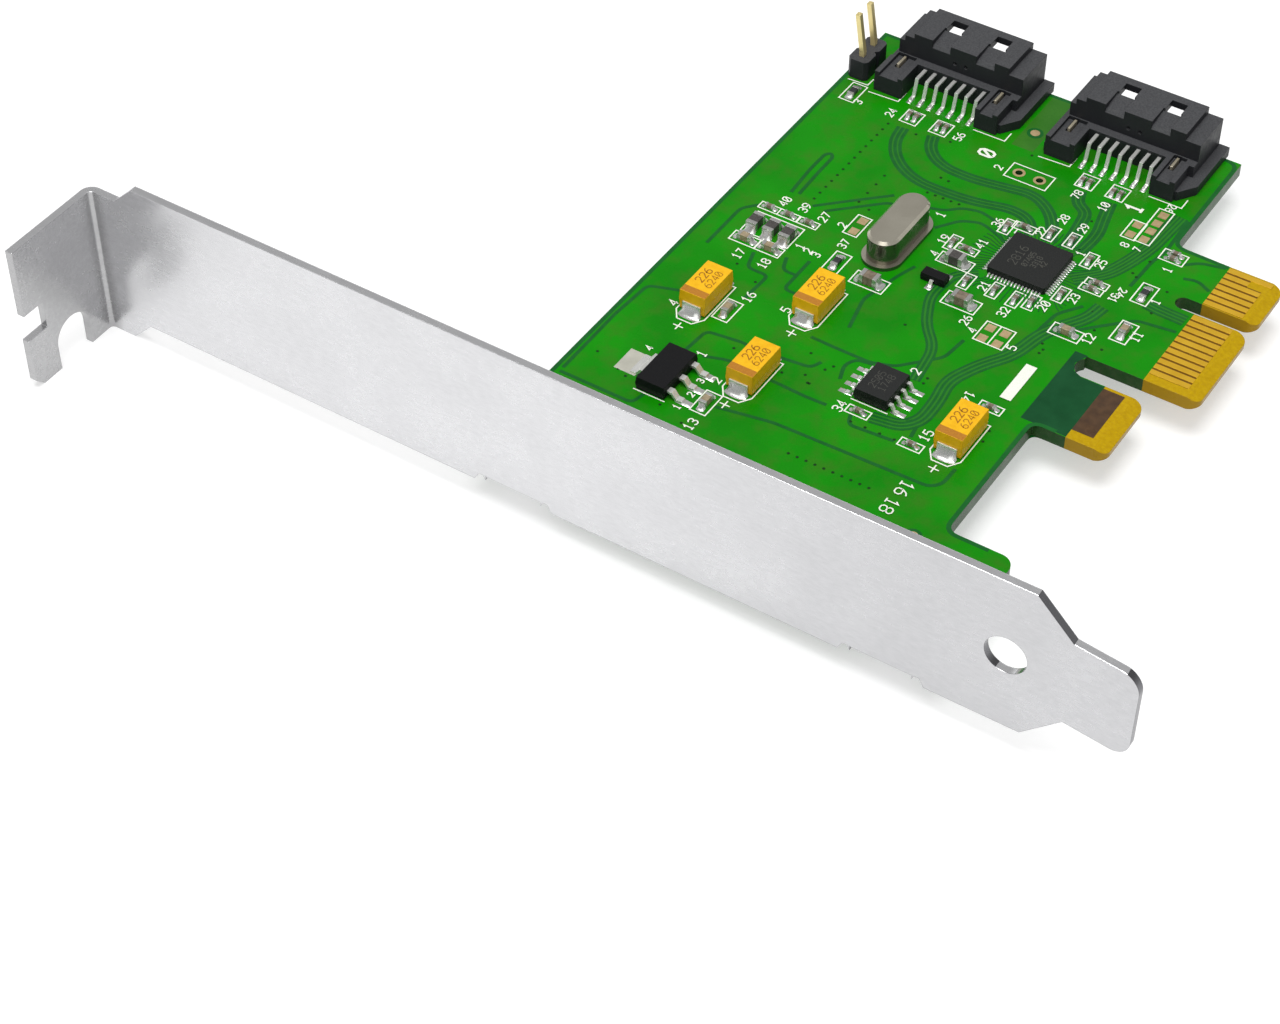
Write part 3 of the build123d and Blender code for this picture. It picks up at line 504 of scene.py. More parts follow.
MAT = {
    "solder_mask": board_material(),
    "zinc_sheet": sheet_metal(),
    "tantalum_yellow": tantalum_material(),
    "gold": finish("gold", (0.82, 0.48, 0.024), (0.90, 0.55, 0.036), 0.36, metal=0.6, grain_mm=2.0,
                   rough_spread=0.04, bump_mm=0.002, rounding_mm=0.03),
    "bare_pad": finish("bare_pad", (0.42, 0.30, 0.15), (0.52, 0.39, 0.21), 0.5, metal=0.3),
    "screw_steel": finish("screw_steel", (0.58, 0.58, 0.60), (0.72, 0.72, 0.74), 0.28, metal=1.0,
                          grain_mm=0.4, rounding_mm=0.1),
    "black_plastic": finish("black_plastic", (0.050, 0.051, 0.055), (0.076, 0.077, 0.081), 0.44,
                            grain_mm=0.18, bump_mm=0.008, rounding_mm=0.09, specular=0.15),
    "tin": finish("tin", (0.74, 0.74, 0.71), (0.84, 0.84, 0.81), 0.30, metal=0.6, grain_mm=2.5,
                  bump_mm=0.001, rounding_mm=0.05),
    "crystal_steel": finish("crystal_steel", (0.60, 0.56, 0.46), (0.68, 0.64, 0.53), 0.24, metal=0.9,
                            grain_mm=3.0, rough_spread=0.02, bump_mm=0.0),
    "chip_black": finish("chip_black", (0.010, 0.011, 0.011), (0.020, 0.021, 0.020), 0.52,
                         grain_mm=0.12, bump_mm=0.006, rounding_mm=0.07, specular=0.25),
    "ceramic_tan": finish("ceramic_tan", (0.135, 0.105, 0.075), (0.23, 0.185, 0.135), 0.42,
                          grain_mm=0.4, rounding_mm=0.06),
    "ferrite_dark": finish("ferrite_dark", (0.040, 0.036, 0.034), (0.085, 0.078, 0.074), 0.45,
                           grain_mm=0.15, rounding_mm=0.08, specular=0.35),
    "resistor_black": finish("resistor_black", (0.022, 0.022, 0.025), (0.045, 0.045, 0.05), 0.3,
                             grain_mm=0.2, rounding_mm=0.04),
}
# Painted shade on the upright faces of the black plastic, the crystal can and the black chips
paint_shade_on_upright(MAT["black_plastic"], (0.020, 0.021, 0.024))
paint_shade_on_upright(MAT["crystal_steel"], (0.17, 0.16, 0.13))
paint_shade_on_upright(MAT["chip_black"], (0.006, 0.007, 0.007))
SILK = finish("silk_white", (0.78, 0.80, 0.70), (0.88, 0.90, 0.82), 0.55, grain_mm=0.12, specular=0.2)
GAP = finish("mask_over_gap", (0.006, 0.105, 0.016), (0.009, 0.125, 0.020), 0.28, grain_mm=1.2,
             specular=0.2)
TRACE = finish("mask_over_trace", (0.020, 0.175, 0.012), (0.020, 0.190, 0.014), 0.28, grain_mm=1.2,
               specular=0.2)
PALE_MASK = finish("mask_over_laminate", (0.030, 0.160, 0.012), (0.040, 0.180, 0.016), 0.28,
                   grain_mm=2.0, specular=0.2)
BARE_MASK = finish("mask_over_bare_core", (0.003, 0.058, 0.016), (0.006, 0.074, 0.022), 0.28,
                   grain_mm=2.0, specular=0.2)
VIA = finish("via_hole", (0.002, 0.030, 0.003), (0.006, 0.050, 0.006), 0.4, grain_mm=0.3, specular=0.2)
CHIP_PRINT = finish("chip_print", (0.060, 0.060, 0.052), (0.080, 0.080, 0.070), 0.6, grain_mm=0.1,
                    specular=0.2)
CAP_PRINT = finish("capacitor_print", (0.30, 0.115, 0.010), (0.38, 0.16, 0.015), 0.5, grain_mm=0.1,
                   specular=0.2)
CAP_BAND = finish("capacitor_band", (0.40, 0.155, 0.014), (0.48, 0.20, 0.020), 0.42, grain_mm=0.2,
                  specular=0.3)
INNER_COPPER = finish("inner_copper", (0.055, 0.026, 0.010), (0.085, 0.042, 0.016), 0.32, grain_mm=0.8)
TAB_PAD = finish("tab_pad", (0.56, 0.55, 0.47), (0.66, 0.65, 0.56), 0.42, metal=0.45, grain_mm=1.5,
                 bump_mm=0.002)
SOLDER = finish("solder", (0.62, 0.62, 0.60), (0.72, 0.72, 0.70), 0.27, metal=0.8, grain_mm=3.0,
                bump_mm=0.0)
CHIP_ENDS = finish("chip_ends", (0.50, 0.50, 0.48), (0.60, 0.60, 0.58), 0.32, metal=0.75, grain_mm=3.0,
                   bump_mm=0.0, rounding_mm=0.07)
CERAMIC_PALE = finish("ceramic_pale", (0.26, 0.205, 0.125), (0.37, 0.30, 0.19), 0.40, grain_mm=0.4,
                      rounding_mm=0.06)
BODY_BLACK = finish("body_black", (0.004, 0.004, 0.005), (0.009, 0.009, 0.010), 0.5, grain_mm=0.12,
                    bump_mm=0.006, rounding_mm=0.07, specular=0.15)
PIN_GOLD = finish("pin_gold", (0.86, 0.70, 0.30), (0.92, 0.77, 0.38), 0.30, metal=0.6, grain_mm=2.0,
                  rough_spread=0.04, bump_mm=0.002, rounding_mm=0.05)
CLIP_BRASS = finish("clip_brass", (0.74, 0.66, 0.48), (0.84, 0.76, 0.58), 0.30, metal=0.7, grain_mm=2.0,
                    rough_spread=0.04, bump_mm=0.002, rounding_mm=0.05)


def dress_nodes():
    """Each solid keeps its shape and gets the material of its slot, or one of its own."""
    slots = {part["node"]: part["material_slot"] for part in frame["record"]["subparts"]}
    own = {"header_pins": PIN_GOLD, "port_0_clips": CLIP_BRASS, "port_1_clips": CLIP_BRASS,
           "regulator_body": BODY_BLACK, "transistor_body": BODY_BLACK,
           "medium_capacitor_bodies": CERAMIC_PALE}
    own.update({node: CHIP_ENDS for node in frame["nodes"] if node.endswith("_ends")})
    for node in frame["nodes"]:
        obj = bpy.data.objects[node]
        if not obj.material_slots:
            obj.data.materials.append(None)
        for holder in obj.material_slots:
            holder.material = own.get(node) or MAT[slots[node]]


# White print: outlines, marks and numbers

SILK_LINE = 0.15
BOLD_LINE = 0.32
BOLD_ABOVE = 1.6              # numbers higher than this are bold
NUMBER_SCALE = 0.93
DIGIT_ADVANCE = 0.86          # shares of a digit's height
DIGIT_WIDTH = 0.6
TANTALUM_OUTLINE = [(-1.75, -3.1), (-1.75, 3.15), (1.75, 3.15), (1.75, -3.1), (0.9, -4.35), (-0.9, -4.35)]
TANTALUM_PLUS = (-0.1, -5.35)
TANTALUM_PLUS_HEIGHT = 1.5
LABEL_FIELD = [(-17.39, -23.5), (-16.13, -23.5), (-16.13, -17.56), (-17.39, -17.56)]

# Strokes of each digit, in a box one high
DIGITS = {
    "0": [[(0.15, 0), (0, 0.2), (0, 0.8), (0.15, 1), (0.45, 1), (0.6, 0.8), (0.6, 0.2), (0.45, 0), (0.15, 0)],
          [(0.1, 0.2), (0.5, 0.8)]],
    "1": [[(0.08, 0.76), (0.3, 1), (0.3, 0)], [(0.08, 0), (0.52, 0)]],
    "2": [[(0, 0.8), (0.15, 1), (0.45, 1), (0.6, 0.82), (0.6, 0.62), (0, 0), (0.6, 0)]],
    "3": [[(0, 0.85), (0.15, 1), (0.45, 1), (0.6, 0.85), (0.6, 0.66), (0.42, 0.52), (0.6, 0.38), (0.6, 0.15),
           (0.45, 0), (0.15, 0), (0, 0.15)], [(0.2, 0.52), (0.42, 0.52)]],
    "4": [[(0.45, 0), (0.45, 1), (0, 0.3), (0.62, 0.3)]],
    "5": [[(0.58, 1), (0.06, 1), (0, 0.55), (0.4, 0.6), (0.6, 0.44), (0.6, 0.16),
           (0.45, 0), (0.15, 0), (0, 0.12)]],
    "6": [[(0.5, 1), (0.22, 0.86), (0, 0.5), (0, 0.15), (0.15, 0), (0.45, 0), (0.6, 0.15), (0.6, 0.4),
           (0.45, 0.55), (0.15, 0.55), (0, 0.4)]],
    "7": [[(0, 1), (0.6, 1), (0.2, 0)]],
    "8": [[(0.15, 0.52), (0, 0.68), (0, 0.85), (0.15, 1), (0.45, 1), (0.6, 0.85), (0.6, 0.68), (0.45, 0.52),
           (0.15, 0.52), (0, 0.37), (0, 0.15), (0.15, 0), (0.45, 0), (0.6, 0.15), (0.6, 0.37), (0.45, 0.52)]],
    "9": [[(0.1, 0), (0.38, 0.14), (0.6, 0.5), (0.6, 0.85), (0.45, 1), (0.15, 1), (0, 0.85), (0, 0.6),
           (0.15, 0.45), (0.45, 0.45), (0.6, 0.6)]],
    "+": [[(0.3, 0.1), (0.3, 0.9)], [(-0.1, 0.5), (0.7, 0.5)]],
}


def number(sheet, text, x, y, turn, height, stroke):
    """Digits about a middle, read along +X at turn 0 and along +Y at turn 90."""
    advance = DIGIT_ADVANCE * height
    width = advance * (len(text) - 1) + DIGIT_WIDTH * height
    for i, digit in enumerate(text):
        for path in DIGITS[digit]:
            spots = [(px * height + i * advance - width / 2, (py - 0.5) * height) for px, py in path]
            sheet.line([reached((x, y), turn, px, py) for px, py in spots], stroke)


# Outlines round the chip parts: middle, width along X and length along Y
CHIP_OUTLINES = [
    *((x, y, 1.2, 2.55) for x, y in SMALL_ALONG_Y),
    (-31.3, -4.8, 2.55, 1.2), (-27.8, 1.9, 2.55, 1.2), (-28.35, -33.3, 2.55, 1.2), (-21.5, -34.65, 2.55, 1.2),
    (-17.35, -25.45, 2.55, 1.2), (-17.0, -2.25, 2.55, 1.1), (-17.1, -3.35, 2.55, 1.1),
    (-52.75, -10.25, 2.4, 1.1), (-50.35, -10.25, 2.4, 1.1), (-47.85, -10.25, 2.4, 1.1),
    (-16.2, -11.0, 3.4, 1.85), (-52.2, -16.3, 3.2, 1.6), (-49.15, -16.3, 3.0, 1.6),
    (-11.15, -7.65, 1.85, 3.4), (-47.65, -27.25, 1.85, 3.4), (-42.0, -40.55, 1.85, 3.4),
    (-12.0, -1.0, 1.85, 3.4), (-55.5, 12.75, 1.85, 3.4), (-41.95, -14.25, 1.85, 3.4),
    (-37.4, -15.15, 3.95, 2.15), (-27.65, -12.75, 3.95, 2.15), (-31.35, -7.25, 3.92, 1.73),
    (-50.55, -13.3, 5.87, 3.75), (-12.05, 6.15, 2.76, 1.87),
    (-25.63, 12.7, 2.05, 2.4), (-21.92, 12.75, 2.05, 2.4), (-47.54, 12.3, 2.05, 2.4),
    (-43.8, 12.35, 2.05, 2.4),
    (-31.45, 10.06, 5.1, 2.62), (-43.15, -7.73, 1.7, 3.53), (-22.25, -15.45, 3.4, 3.27),
    (-17.68, 8.0, 1.65, 3.25), (-16.05, 9.7, 1.8, 6.4),
]
SILK_LINES = [
    [(-54.15, 13.85), (-50.35, 14.05), (-50.35, 15.9)], [(-40.7, 14.15), (-36.75, 14.18), (-36.75, 15.84)],
    [(-32.35, 13.85), (-28.55, 14.05), (-28.55, 15.9)], [(-18.9, 14.15), (-14.95, 14.18), (-14.95, 15.84)],
    [(-57.31, 14.7), (-54.79, 14.85), (-54.75, 16.2)],
    [(-30.0, -31.95), (-25.7, -31.95)], [(-49.4, -42.75), (-45.6, -42.75)],
    [(-22.25, -13.85), (-22.25, -17.05)], [(-28.3, 0.45), (-28.3, 1.2)],
]
# Numbers beside the parts: text, middle, direction and height
NUMBERS = [
    ("3", -54.15, 11.5, 90, 1.0), ("24", -50.0, 11.8, 90, 1.0), ("56", -41.4, 12.1, 90, 1.0),
    ("0", -37.4, 11.2, 90, 1.9), ("2", -35.1, 9.65, 90, 1.0), ("40", -51.9, -8.4, 90, 1.05),
    ("39", -49.5, -8.2, 90, 1.05), ("27", -46.9, -8.4, 90, 1.05), ("2", -44.6, -8.5, 90, 1.0),
    ("1", -36.5, -1.1, 90, 1.05), ("37", -42.85, -11.2, 90, 1.0), ("36", -30.65, 1.1, 90, 1.0),
    ("19", -34.2, -4.6, 90, 1.0), ("41", -30.4, -3.05, 90, 1.0), ("4", -33.9, -7.2, 90, 1.0),
    ("1", -46.6, -14.1, 90, 1.0), ("2", -45.5, -14.3, 90, 1.0), ("3", -44.45, -14.4, 90, 1.0),
    ("17", -51.5, -18.75, 90, 1.05), ("18", -48.4, -18.65, 90, 1.05), ("16", -46.9, -24.2, 90, 1.1),
    ("4", -53.1, -29.3, 90, 1.1), ("4", -51.35, -36.7, 90, 0.85), ("1", -46.3, -34.5, 90, 1.1),
    ("3", -44.2, -38.1, 90, 0.8), ("2", -43.95, -40.35, 90, 0.8), ("1", -44.15, -42.7, 90, 0.8),
    ("2", -42.9, -37.1, 90, 1.1), ("13", -41.6, -44.1, 90, 1.1), ("5", -42.55, -23.85, 90, 1.1),
    ("78", -25.6, 10.1, 90, 1.0), ("10", -22.2, 9.8, 90, 1.0), ("1", -19.3, 11.4, 90, 1.9),
    ("26", -15.9, 13.5, 270, 0.95), ("8", -17.4, 5.2, 90, 0.95), ("7", -15.9, 5.2, 90, 0.95),
    ("22", -25.95, 2.3, 90, 1.0), ("28", -24.9, 5.5, 90, 1.0), ("29", -22.35, 5.25, 90, 1.0),
    ("1", -20.7, 1.3, 90, 1.0), ("25", -18.1, 0.9, 90, 1.0), ("21", -26.9, -9.1, 90, 1.0),
    ("32", -23.2, -11.7, 90, 1.05), ("20", -20.1, -8.5, 90, 1.05), ("23", -18.0, -5.7, 90, 1.0),
    ("24", -14.2, -2.1, 270, 0.9), ("31", -14.5, -3.3, 270, 0.9), ("1", -10.5, -1.5, 90, 1.05),
    ("1", -11.7, 3.9, 90, 1.0), ("12", -13.8, -10.6, 90, 1.1), ("11", -9.75, -7.6, 90, 1.05),
    ("4", -24.6, -16.0, 90, 1.0), ("5", -19.85, -16.2, 90, 1.05), ("26", -25.9, -15.0, 90, 1.0),
    ("34", -30.35, -33.6, 90, 1.1), ("2", -26.4, -24.8, 90, 1.1), ("15", -20.85, -32.6, 90, 1.1),
    ("14", -20.1, -25.25, 270, 1.0), ("16", -19.0, -40.45, 270, 1.45), ("18", -19.05, -43.35, 270, 1.45),
]


def silkscreen():
    sheet = Sheet(FACE + SILK_Z)
    for outline in CHIP_OUTLINES:
        sheet.line(corners(*outline), SILK_LINE, closed=True)
    for path in SILK_LINES:
        sheet.line(path, SILK_LINE)
    for x, y in TANTALUMS:
        sheet.line([(x + dx, y + dy) for dx, dy in TANTALUM_OUTLINE], SILK_LINE, closed=True)
        number(sheet, "+", x + TANTALUM_PLUS[0], y + TANTALUM_PLUS[1], 0, TANTALUM_PLUS_HEIGHT, SILK_LINE)
    for text, x, y, turn, height in NUMBERS:
        stroke = BOLD_LINE if height > BOLD_ABOVE else SILK_LINE
        number(sheet, text, x, y, turn, height * NUMBER_SCALE, stroke)
    sheet.polygon(LABEL_FIELD)
    sheet.build("silkscreen", SILK, "solder_mask")


# Copper under the mask: dark gaps with paler tracks in them

# Each kind of line: the gap's width and the rounding of its corners
MARGIN = (0.5, 1.5)
WIDE_GAP = (1.5, 2.2)
NARROW_GAP = (0.42, 0.7)
LOOP_GAP = (0.42, 0.6)
LOWER_GAP = (0.85, 0.9)
WIDE_TRACK = 0.17
WIDE_TRACK_OFFSET = 0.27
BUNDLE_TRACK = 0.22
BUNDLE_BORDER = 0.25          # gap beyond the pitches of a bundle's tracks
BUNDLE_ROUNDING = 1.6
LOWER_TRACK = 0.3
VIA_RADIUS = 0.17
VIA_SIDES = 10
TARGETS = ((-34.55, 17.4), (-15.15, -45.6))
TARGET_RADIUS = 0.95
TARGET_SIDES = 32
FAN_LINES = 17                # between and beside the controller's leads, on each side
FAN_WIDTH = 0.13
# A fan line's bends: distance from the controller's middle, and how much wider the fan is there
FAN_RUN = ((3.95, 1.0), (4.35, 1.0), (5.7, 1.45))
FAN_TIP = (6.9, 1.5)
FAN_SLOPE = 0.12              # each line ends this much before the one nearer the middle

WIDE_GAPS = [
    [(-47.5, 10.2), (-47.2, 7.8), (-45.9, 5.4), (-43.8, 3.6), (-41.2, 2.6), (-37.7, 2.6), (-34.5, 2.9),
     (-30.6, 4.0), (-28.2, 3.6), (-26.6, 1.3)],
    [(-43.9, 10.7), (-43.3, 8.8), (-41.8, 7.2), (-39.8, 6.4), (-36.5, 6.3), (-33.2, 6.9), (-29.6, 7.6),
     (-26.9, 6.0), (-25.2, 3.6), (-24.4, 1.3)],
    [(-25.6, 10.9), (-25.0, 8.9), (-23.3, 7.9), (-22.8, 4.0), (-22.6, 1.2)],
    [(-21.9, 10.9), (-21.3, 8.0), (-20.6, 5.2), (-20.9, 1.6)],
]
NARROW_GAPS = [
    [(-49.0, -7.4), (-46.0, -4.4), (-42.4, -0.9)], [(-47.5, -7.5), (-42.2, -2.3), (-40.2, -2.3)],
    [(-38.4, -0.8), (-36.5, -0.2), (-35.1, 1.2), (-33.1, 1.8), (-31.2, 1.3), (-28.4, -0.4)],
    [(-36.0, -3.4), (-34.2, -0.8), (-32.2, 0.1), (-30.8, -0.3), (-28.3, -1.4)],
    [(-57.2, -44.0), (-57.3, -34.1), (-56.9, -28.4), (-53.0, -27.0)],
    [(-57.2, -44.6), (-48.4, -44.6), (-48.0, -42.7)],
    [(-48.1, -35.2), (-47.8, -31.2), (-43.4, -30.6), (-41.8, -31.2)],
    [(-46.1, -34.7), (-43.6, -33.8), (-42.1, -33.8)],
    [(-50.3, -17.6), (-49.6, -20.1), (-47.0, -20.1), (-47.2, -24.6)],
    [(-44.5, -15.6), (-44.5, -21.0), (-42.2, -21.0)], [(-46.9, -16.4), (-46.2, -18.4), (-44.5, -18.4)],
    [(-40.9, -40.5), (-34.8, -39.3), (-17.2, -38.8), (-16.2, -37.8), (-16.1, -35.2)],
    [(-39.2, -30.5), (-35.8, -30.1), (-35.3, -28.8)], [(-38.3, -34.0), (-34.1, -34.2), (-31.6, -34.1)],
    [(-38.2, -26.0), (-35.4, -26.1), (-31.1, -26.1), (-28.6, -25.2), (-25.0, -21.2), (-24.6, -17.8)],
    [(-32.4, -30.0), (-33.1, -27.9), (-32.5, -26.5), (-30.6, -26.2)],
    [(-28.8, -34.0), (-28.3, -35.4), (-23.2, -35.0)], [(-22.1, -33.6), (-23.3, -25.4), (-23.2, -23.2)],
    [(-16.6, -6.2), (-18.4, -8.8), (-18.8, -12.1), (-18.8, -15.8)],
    [(-18.0, -12.8), (-14.2, -8.6), (-10.9, -5.2), (-6.6, -4.6)],
    [(-13.9, -0.6), (-13.7, 4.4), (-13.2, 6.6), (-13.4, 12.6)],
    [(-10.6, 5.7), (-9.3, 6.9), (-6.6, 7.6)], [(-9.7, 3.6), (-8.2, 4.1), (-6.5, 3.2)],
    [(-34.6, -10.2), (-35.4, -12.6), (-36.6, -17.8), (-35.6, -22.6)],
    [(-55.4, -19.0), (-55.4, -12.0), (-54.0, -10.4)],
]
# Bundles of parallel tracks: path, how many and their pitch
BUNDLES = [
    ([(-26.9, -33.2), (-23.7, -32.7), (-22.4, -30.9), (-22.4, -27.6), (-23.0, -24.2), (-21.4, -20.4),
      (-19.2, -17.0), (-18.2, -12.2), (-15.3, -7.6), (-14.9, -5.2)], 3, 0.5),
    ([(-19.6, -2.9), (-16.9, -0.2), (-15.9, 2.4), (-14.9, 6.2), (-14.4, 12.8)], 4, 0.42),
    ([(-11.2, -2.2), (-9.6, -2.4), (-6.6, -2.5)], 3, 0.5),
    ([(-28.3, -7.6), (-30.4, -9.0), (-31.0, -13.4), (-29.2, -17.6), (-26.6, -20.6), (-25.9, -26.0)], 2, 0.5),
]
LOOP = [(-52.2, -6.6), (-52.5, -2.0), (-52.45, 1.2), (-51.95, 1.75), (-51.45, 1.2), (-51.45, -2.0),
        (-51.3, -6.4)]
# Rows of vias: first, last and how many
VIA_ROWS = [((-49.5, -6.2), (-49.3, 9.9), 14), ((-31.2, -42.3), (-22.0, -42.2), 10),
            ((-39.6, 1.5), (-35.7, 1.6), 5), ((-45.1, -4.0), (-45.0, 1.5), 4),
            ((-28.3, -34.9), (-23.3, -34.8), 4), ((-55.6, -40.0), (-36.0, -46.6), 7)]
VIAS = [
    (-45.7, 9.9), (-41.8, 10.8), (-39.6, 4.6), (-38.6, 4.5), (-35.7, -31.4), (-34.9, -32.3),
    (-34.4, -29.6), (-33.9, -28.7), (-24.9, -25.0), (-24.9, -25.9), (-15.9, -28.5), (-15.7, -30.2),
    (-17.1, -15.3), (-17.0, -14.6), (-15.5, -6.4), (-14.6, 1.5), (-14.0, 1.1), (-13.9, 4.2),
    (-12.6, 0.6), (-10.2, 0.7), (-11.6, -6.1), (-10.2, -6.3), (-10.1, -3.3), (-8.5, -1.9),
    (-22.2, 6.9), (-22.1, 5.8), (-17.8, -10.1), (-17.5, -13.8), (-13.9, -9.0), (-11.9, -11.3),
    (-52.7, -39.2), (-51.1, -41.6), (-50.8, -20.2), (-44.0, -31.9), (-47.6, -21.7), (-37.9, -32.4),
    (-40.6, -38.3), (-34.7, -32.3), (-33.0, 13.6), (-43.5, -4.6), (-30.9, -19.0), (-36.9, -28.2),
]
BOARD_MARGINS = [
    [(-57.9, 24.65), (-57.9, -58.6), (-9.0, -58.6)],
    [(-8.0, -43.35), (-12.95, -43.35), (-12.95, -24.85), (-10.2, -24.85)],
    [(-57.9, 24.65), (-12.95, 24.65), (-12.95, 8.0), (-6.4, 7.85)],
]
# Open laminate between the ports, the bare core by the hook, and the copper strip on the hook
OPEN_LAMINATE = [(-35.9, 14.2), (-35.9, 24.4), (-33.2, 24.4), (-33.2, 14.2)]
BARE_CORE = [(-14.1, -12.95), (-14.2, -25.0), (-9.05, -25.0), (-9.05, -16.25), (-11.68, -16.25),
             (-12.85, -15.75), (-13.3, -14.62), (-12.85, -13.5), (-12.6, -12.95)]
INNER_STRIP = (-7.84, -20.15, 2.42, 7.2)


def margins(gaps):
    """The dark line that follows the board's edges, on either face."""
    width, rounding = MARGIN
    for path in BOARD_MARGINS:
        gaps.line(rounded(path, rounding), width)


def vias(holes):
    for start, end, count in VIA_ROWS:
        for i in range(count):
            t = i / (count - 1)
            holes.disc(*(a + (b - a) * t for a, b in zip(start, end)), VIA_RADIUS, VIA_SIDES)
    for x, y in VIAS:
        holes.disc(x, y, VIA_RADIUS, VIA_SIDES)


def patch(name, outline, material):
    """One flat field on the board, under every line."""
    sheet = Sheet(FACE + TRACE_GAP_Z / 2)
    sheet.polygon(outline)
    sheet.build(name, material, "solder_mask")


def copper():
    gaps, tracks, holes = Sheet(FACE + TRACE_GAP_Z), Sheet(FACE + TRACE_Z), Sheet(FACE + TRACE_Z)
    margins(gaps)
    for path in WIDE_GAPS:
        smooth = rounded(path, WIDE_GAP[1])
        gaps.line(smooth, WIDE_GAP[0])
        for side in (-WIDE_TRACK_OFFSET, WIDE_TRACK_OFFSET):
            tracks.line(offset_path(smooth, side), WIDE_TRACK)
    for path in NARROW_GAPS:
        gaps.line(rounded(path, NARROW_GAP[1]), NARROW_GAP[0])
    for path, count, pitch in BUNDLES:
        smooth = rounded(path, BUNDLE_ROUNDING)
        gaps.line(smooth, count * pitch + BUNDLE_BORDER)
        for side in row(count, pitch):
            tracks.line(offset_path(smooth, side), BUNDLE_TRACK)
    gaps.line(rounded(LOOP, LOOP_GAP[1]), LOOP_GAP[0])
    for x, y in TARGETS:
        gaps.disc(x, y, TARGET_RADIUS, TARGET_SIDES)
    for turn in (0, 90, 180, 270):
        for i, side in enumerate(row(FAN_LINES, CONTROLLER_LEAD_PITCH)):
            fan = [(out, side * spread) for out, spread in FAN_RUN]
            fan.append((FAN_TIP[0] - FAN_SLOPE * abs(i - FAN_LINES // 2), side * FAN_TIP[1]))
            gaps.line([reached(CONTROLLER, turn, out, along) for out, along in fan], FAN_WIDTH)
    vias(holes)
    gaps.build("copper_gaps", GAP, "solder_mask")
    tracks.build("copper_tracks", TRACE, "solder_mask")
    holes.build("via_holes", VIA, "solder_mask")

    patch("open_laminate", OPEN_LAMINATE, PALE_MASK)
    patch("bare_core", BARE_CORE, BARE_MASK)
    inner = Sheet(FACE + TRACE_Z)
    inner.rectangle(*INNER_STRIP)
    inner.build("inner_copper", INNER_COPPER, "bare_pad")


# Solder side: tracks, vias and the joints of the leads that come through

LOWER_TRACKS = [
    [(-56.55, 16.5), (-54.0, 13.5), (-50.0, 9.5), (-44.0, 8.0), (-38.5, 2.0), (-33.0, -1.5), (-28.0, -1.5)],
    [(-56.55, 19.0), (-52.5, 15.0), (-46.5, 13.5), (-40.0, 7.0), (-34.0, 1.5), (-28.0, 0.5)],
    [(-38.25, -10.1), (-35.0, -13.0), (-35.0, -24.0), (-30.0, -29.0), (-24.0, -29.0)],
    [(-38.25, -5.2), (-32.0, -5.2), (-27.0, -9.0), (-27.0, -20.0), (-22.0, -25.0), (-22.0, -36.0)],
    [(-49.5, -6.2), (-49.5, -18.0), (-54.0, -23.0), (-54.0, -38.0)],
    [(-46.0, -21.5), (-46.0, -30.0), (-40.0, -36.0), (-24.0, -36.0), (-18.0, -42.0)],
    [(-31.2, -42.3), (-36.0, -47.0), (-48.0, -47.0)],
    [(-14.0, 12.8), (-14.0, 6.0), (-10.0, 2.5), (-6.4, 2.5)],
    [(-18.5, 12.8), (-18.5, 4.0), (-10.5, -3.5), (-6.4, -3.5)], [(-21.0, -12.0), (-15.0, -6.5), (-6.4, -6.5)],
    [(-12.6, 0.6), (-9.5, -1.5), (-6.4, -1.5)], [(-23.2, -14.5), (-16.0, -9.5), (-6.4, -9.5)],
]
# The header's pins and the crystal's leads: middle, and the joint's length and radius
THROUGH_LEADS = [(-56.55, 16.48, 0.55, 0.75), (-56.55, 19.02, 0.55, 0.75), (-38.25, -10.09, 0.4, 0.6),
                 (-38.25, -5.21, 0.4, 0.6)]
JOINT_SIDES = 14
# Share of the radius, and share of the length that it lies down along the lead
JOINT_PROFILE = ((1.0, 0.0), (0.72, 0.12), (0.5, 0.42), (0.42, 1.0))


def solder_side():
    gaps, tracks, holes = Sheet(FACE + TRACE_GAP_Z), Sheet(FACE + TRACE_Z), Sheet(FACE + TRACE_Z)
    margins(gaps)
    for path in LOWER_TRACKS:
        smooth = rounded(path, LOWER_GAP[1])
        gaps.line(smooth, LOWER_GAP[0])
        tracks.line(smooth, LOWER_TRACK)
    vias(holes)
    gaps.build("lower_copper_gaps", GAP, "solder_mask", below=True)
    tracks.build("lower_copper_tracks", TRACE, "solder_mask", below=True)
    holes.build("lower_via_holes", VIA, "solder_mask", below=True)

    points, faces = [], []
    for x, y, tail, radius in THROUGH_LEADS:
        start = len(points)
        for share, drop in JOINT_PROFILE:
            for i in range(JOINT_SIDES):
                turn = 2 * math.pi * i / JOINT_SIDES
                points.append((x + radius * share * math.cos(turn), y + radius * share * math.sin(turn),
                               -FACE - tail * drop))
        for ring in range(len(JOINT_PROFILE) - 1):
            first = start + ring * JOINT_SIDES
            for i in range(JOINT_SIDES):
                a, b = first + i, first + (i + 1) % JOINT_SIDES
                faces.append((a, a + JOINT_SIDES, b + JOINT_SIDES, b))
        last = start + (len(JOINT_PROFILE) - 1) * JOINT_SIDES
        faces.append(tuple(last + i for i in reversed(range(JOINT_SIDES))))
    piece("lower_joints", points, faces, SOLDER, smooth=True)


# Solder on the component face

PAD_SLOPE = 0.04              # how far a pad's sides slope in
FILLET_ACROSS = 7             # points across a fillet
FILLET_FLANK = 0.28           # the flanks reach less far out than the middle
FILLET_SHOULDER = 0.22        # and stand lower at the wall
FILLET_HOLLOW = 2.4
FILLET_RIM = 0.6              # the rim's height, as a share of a pad's

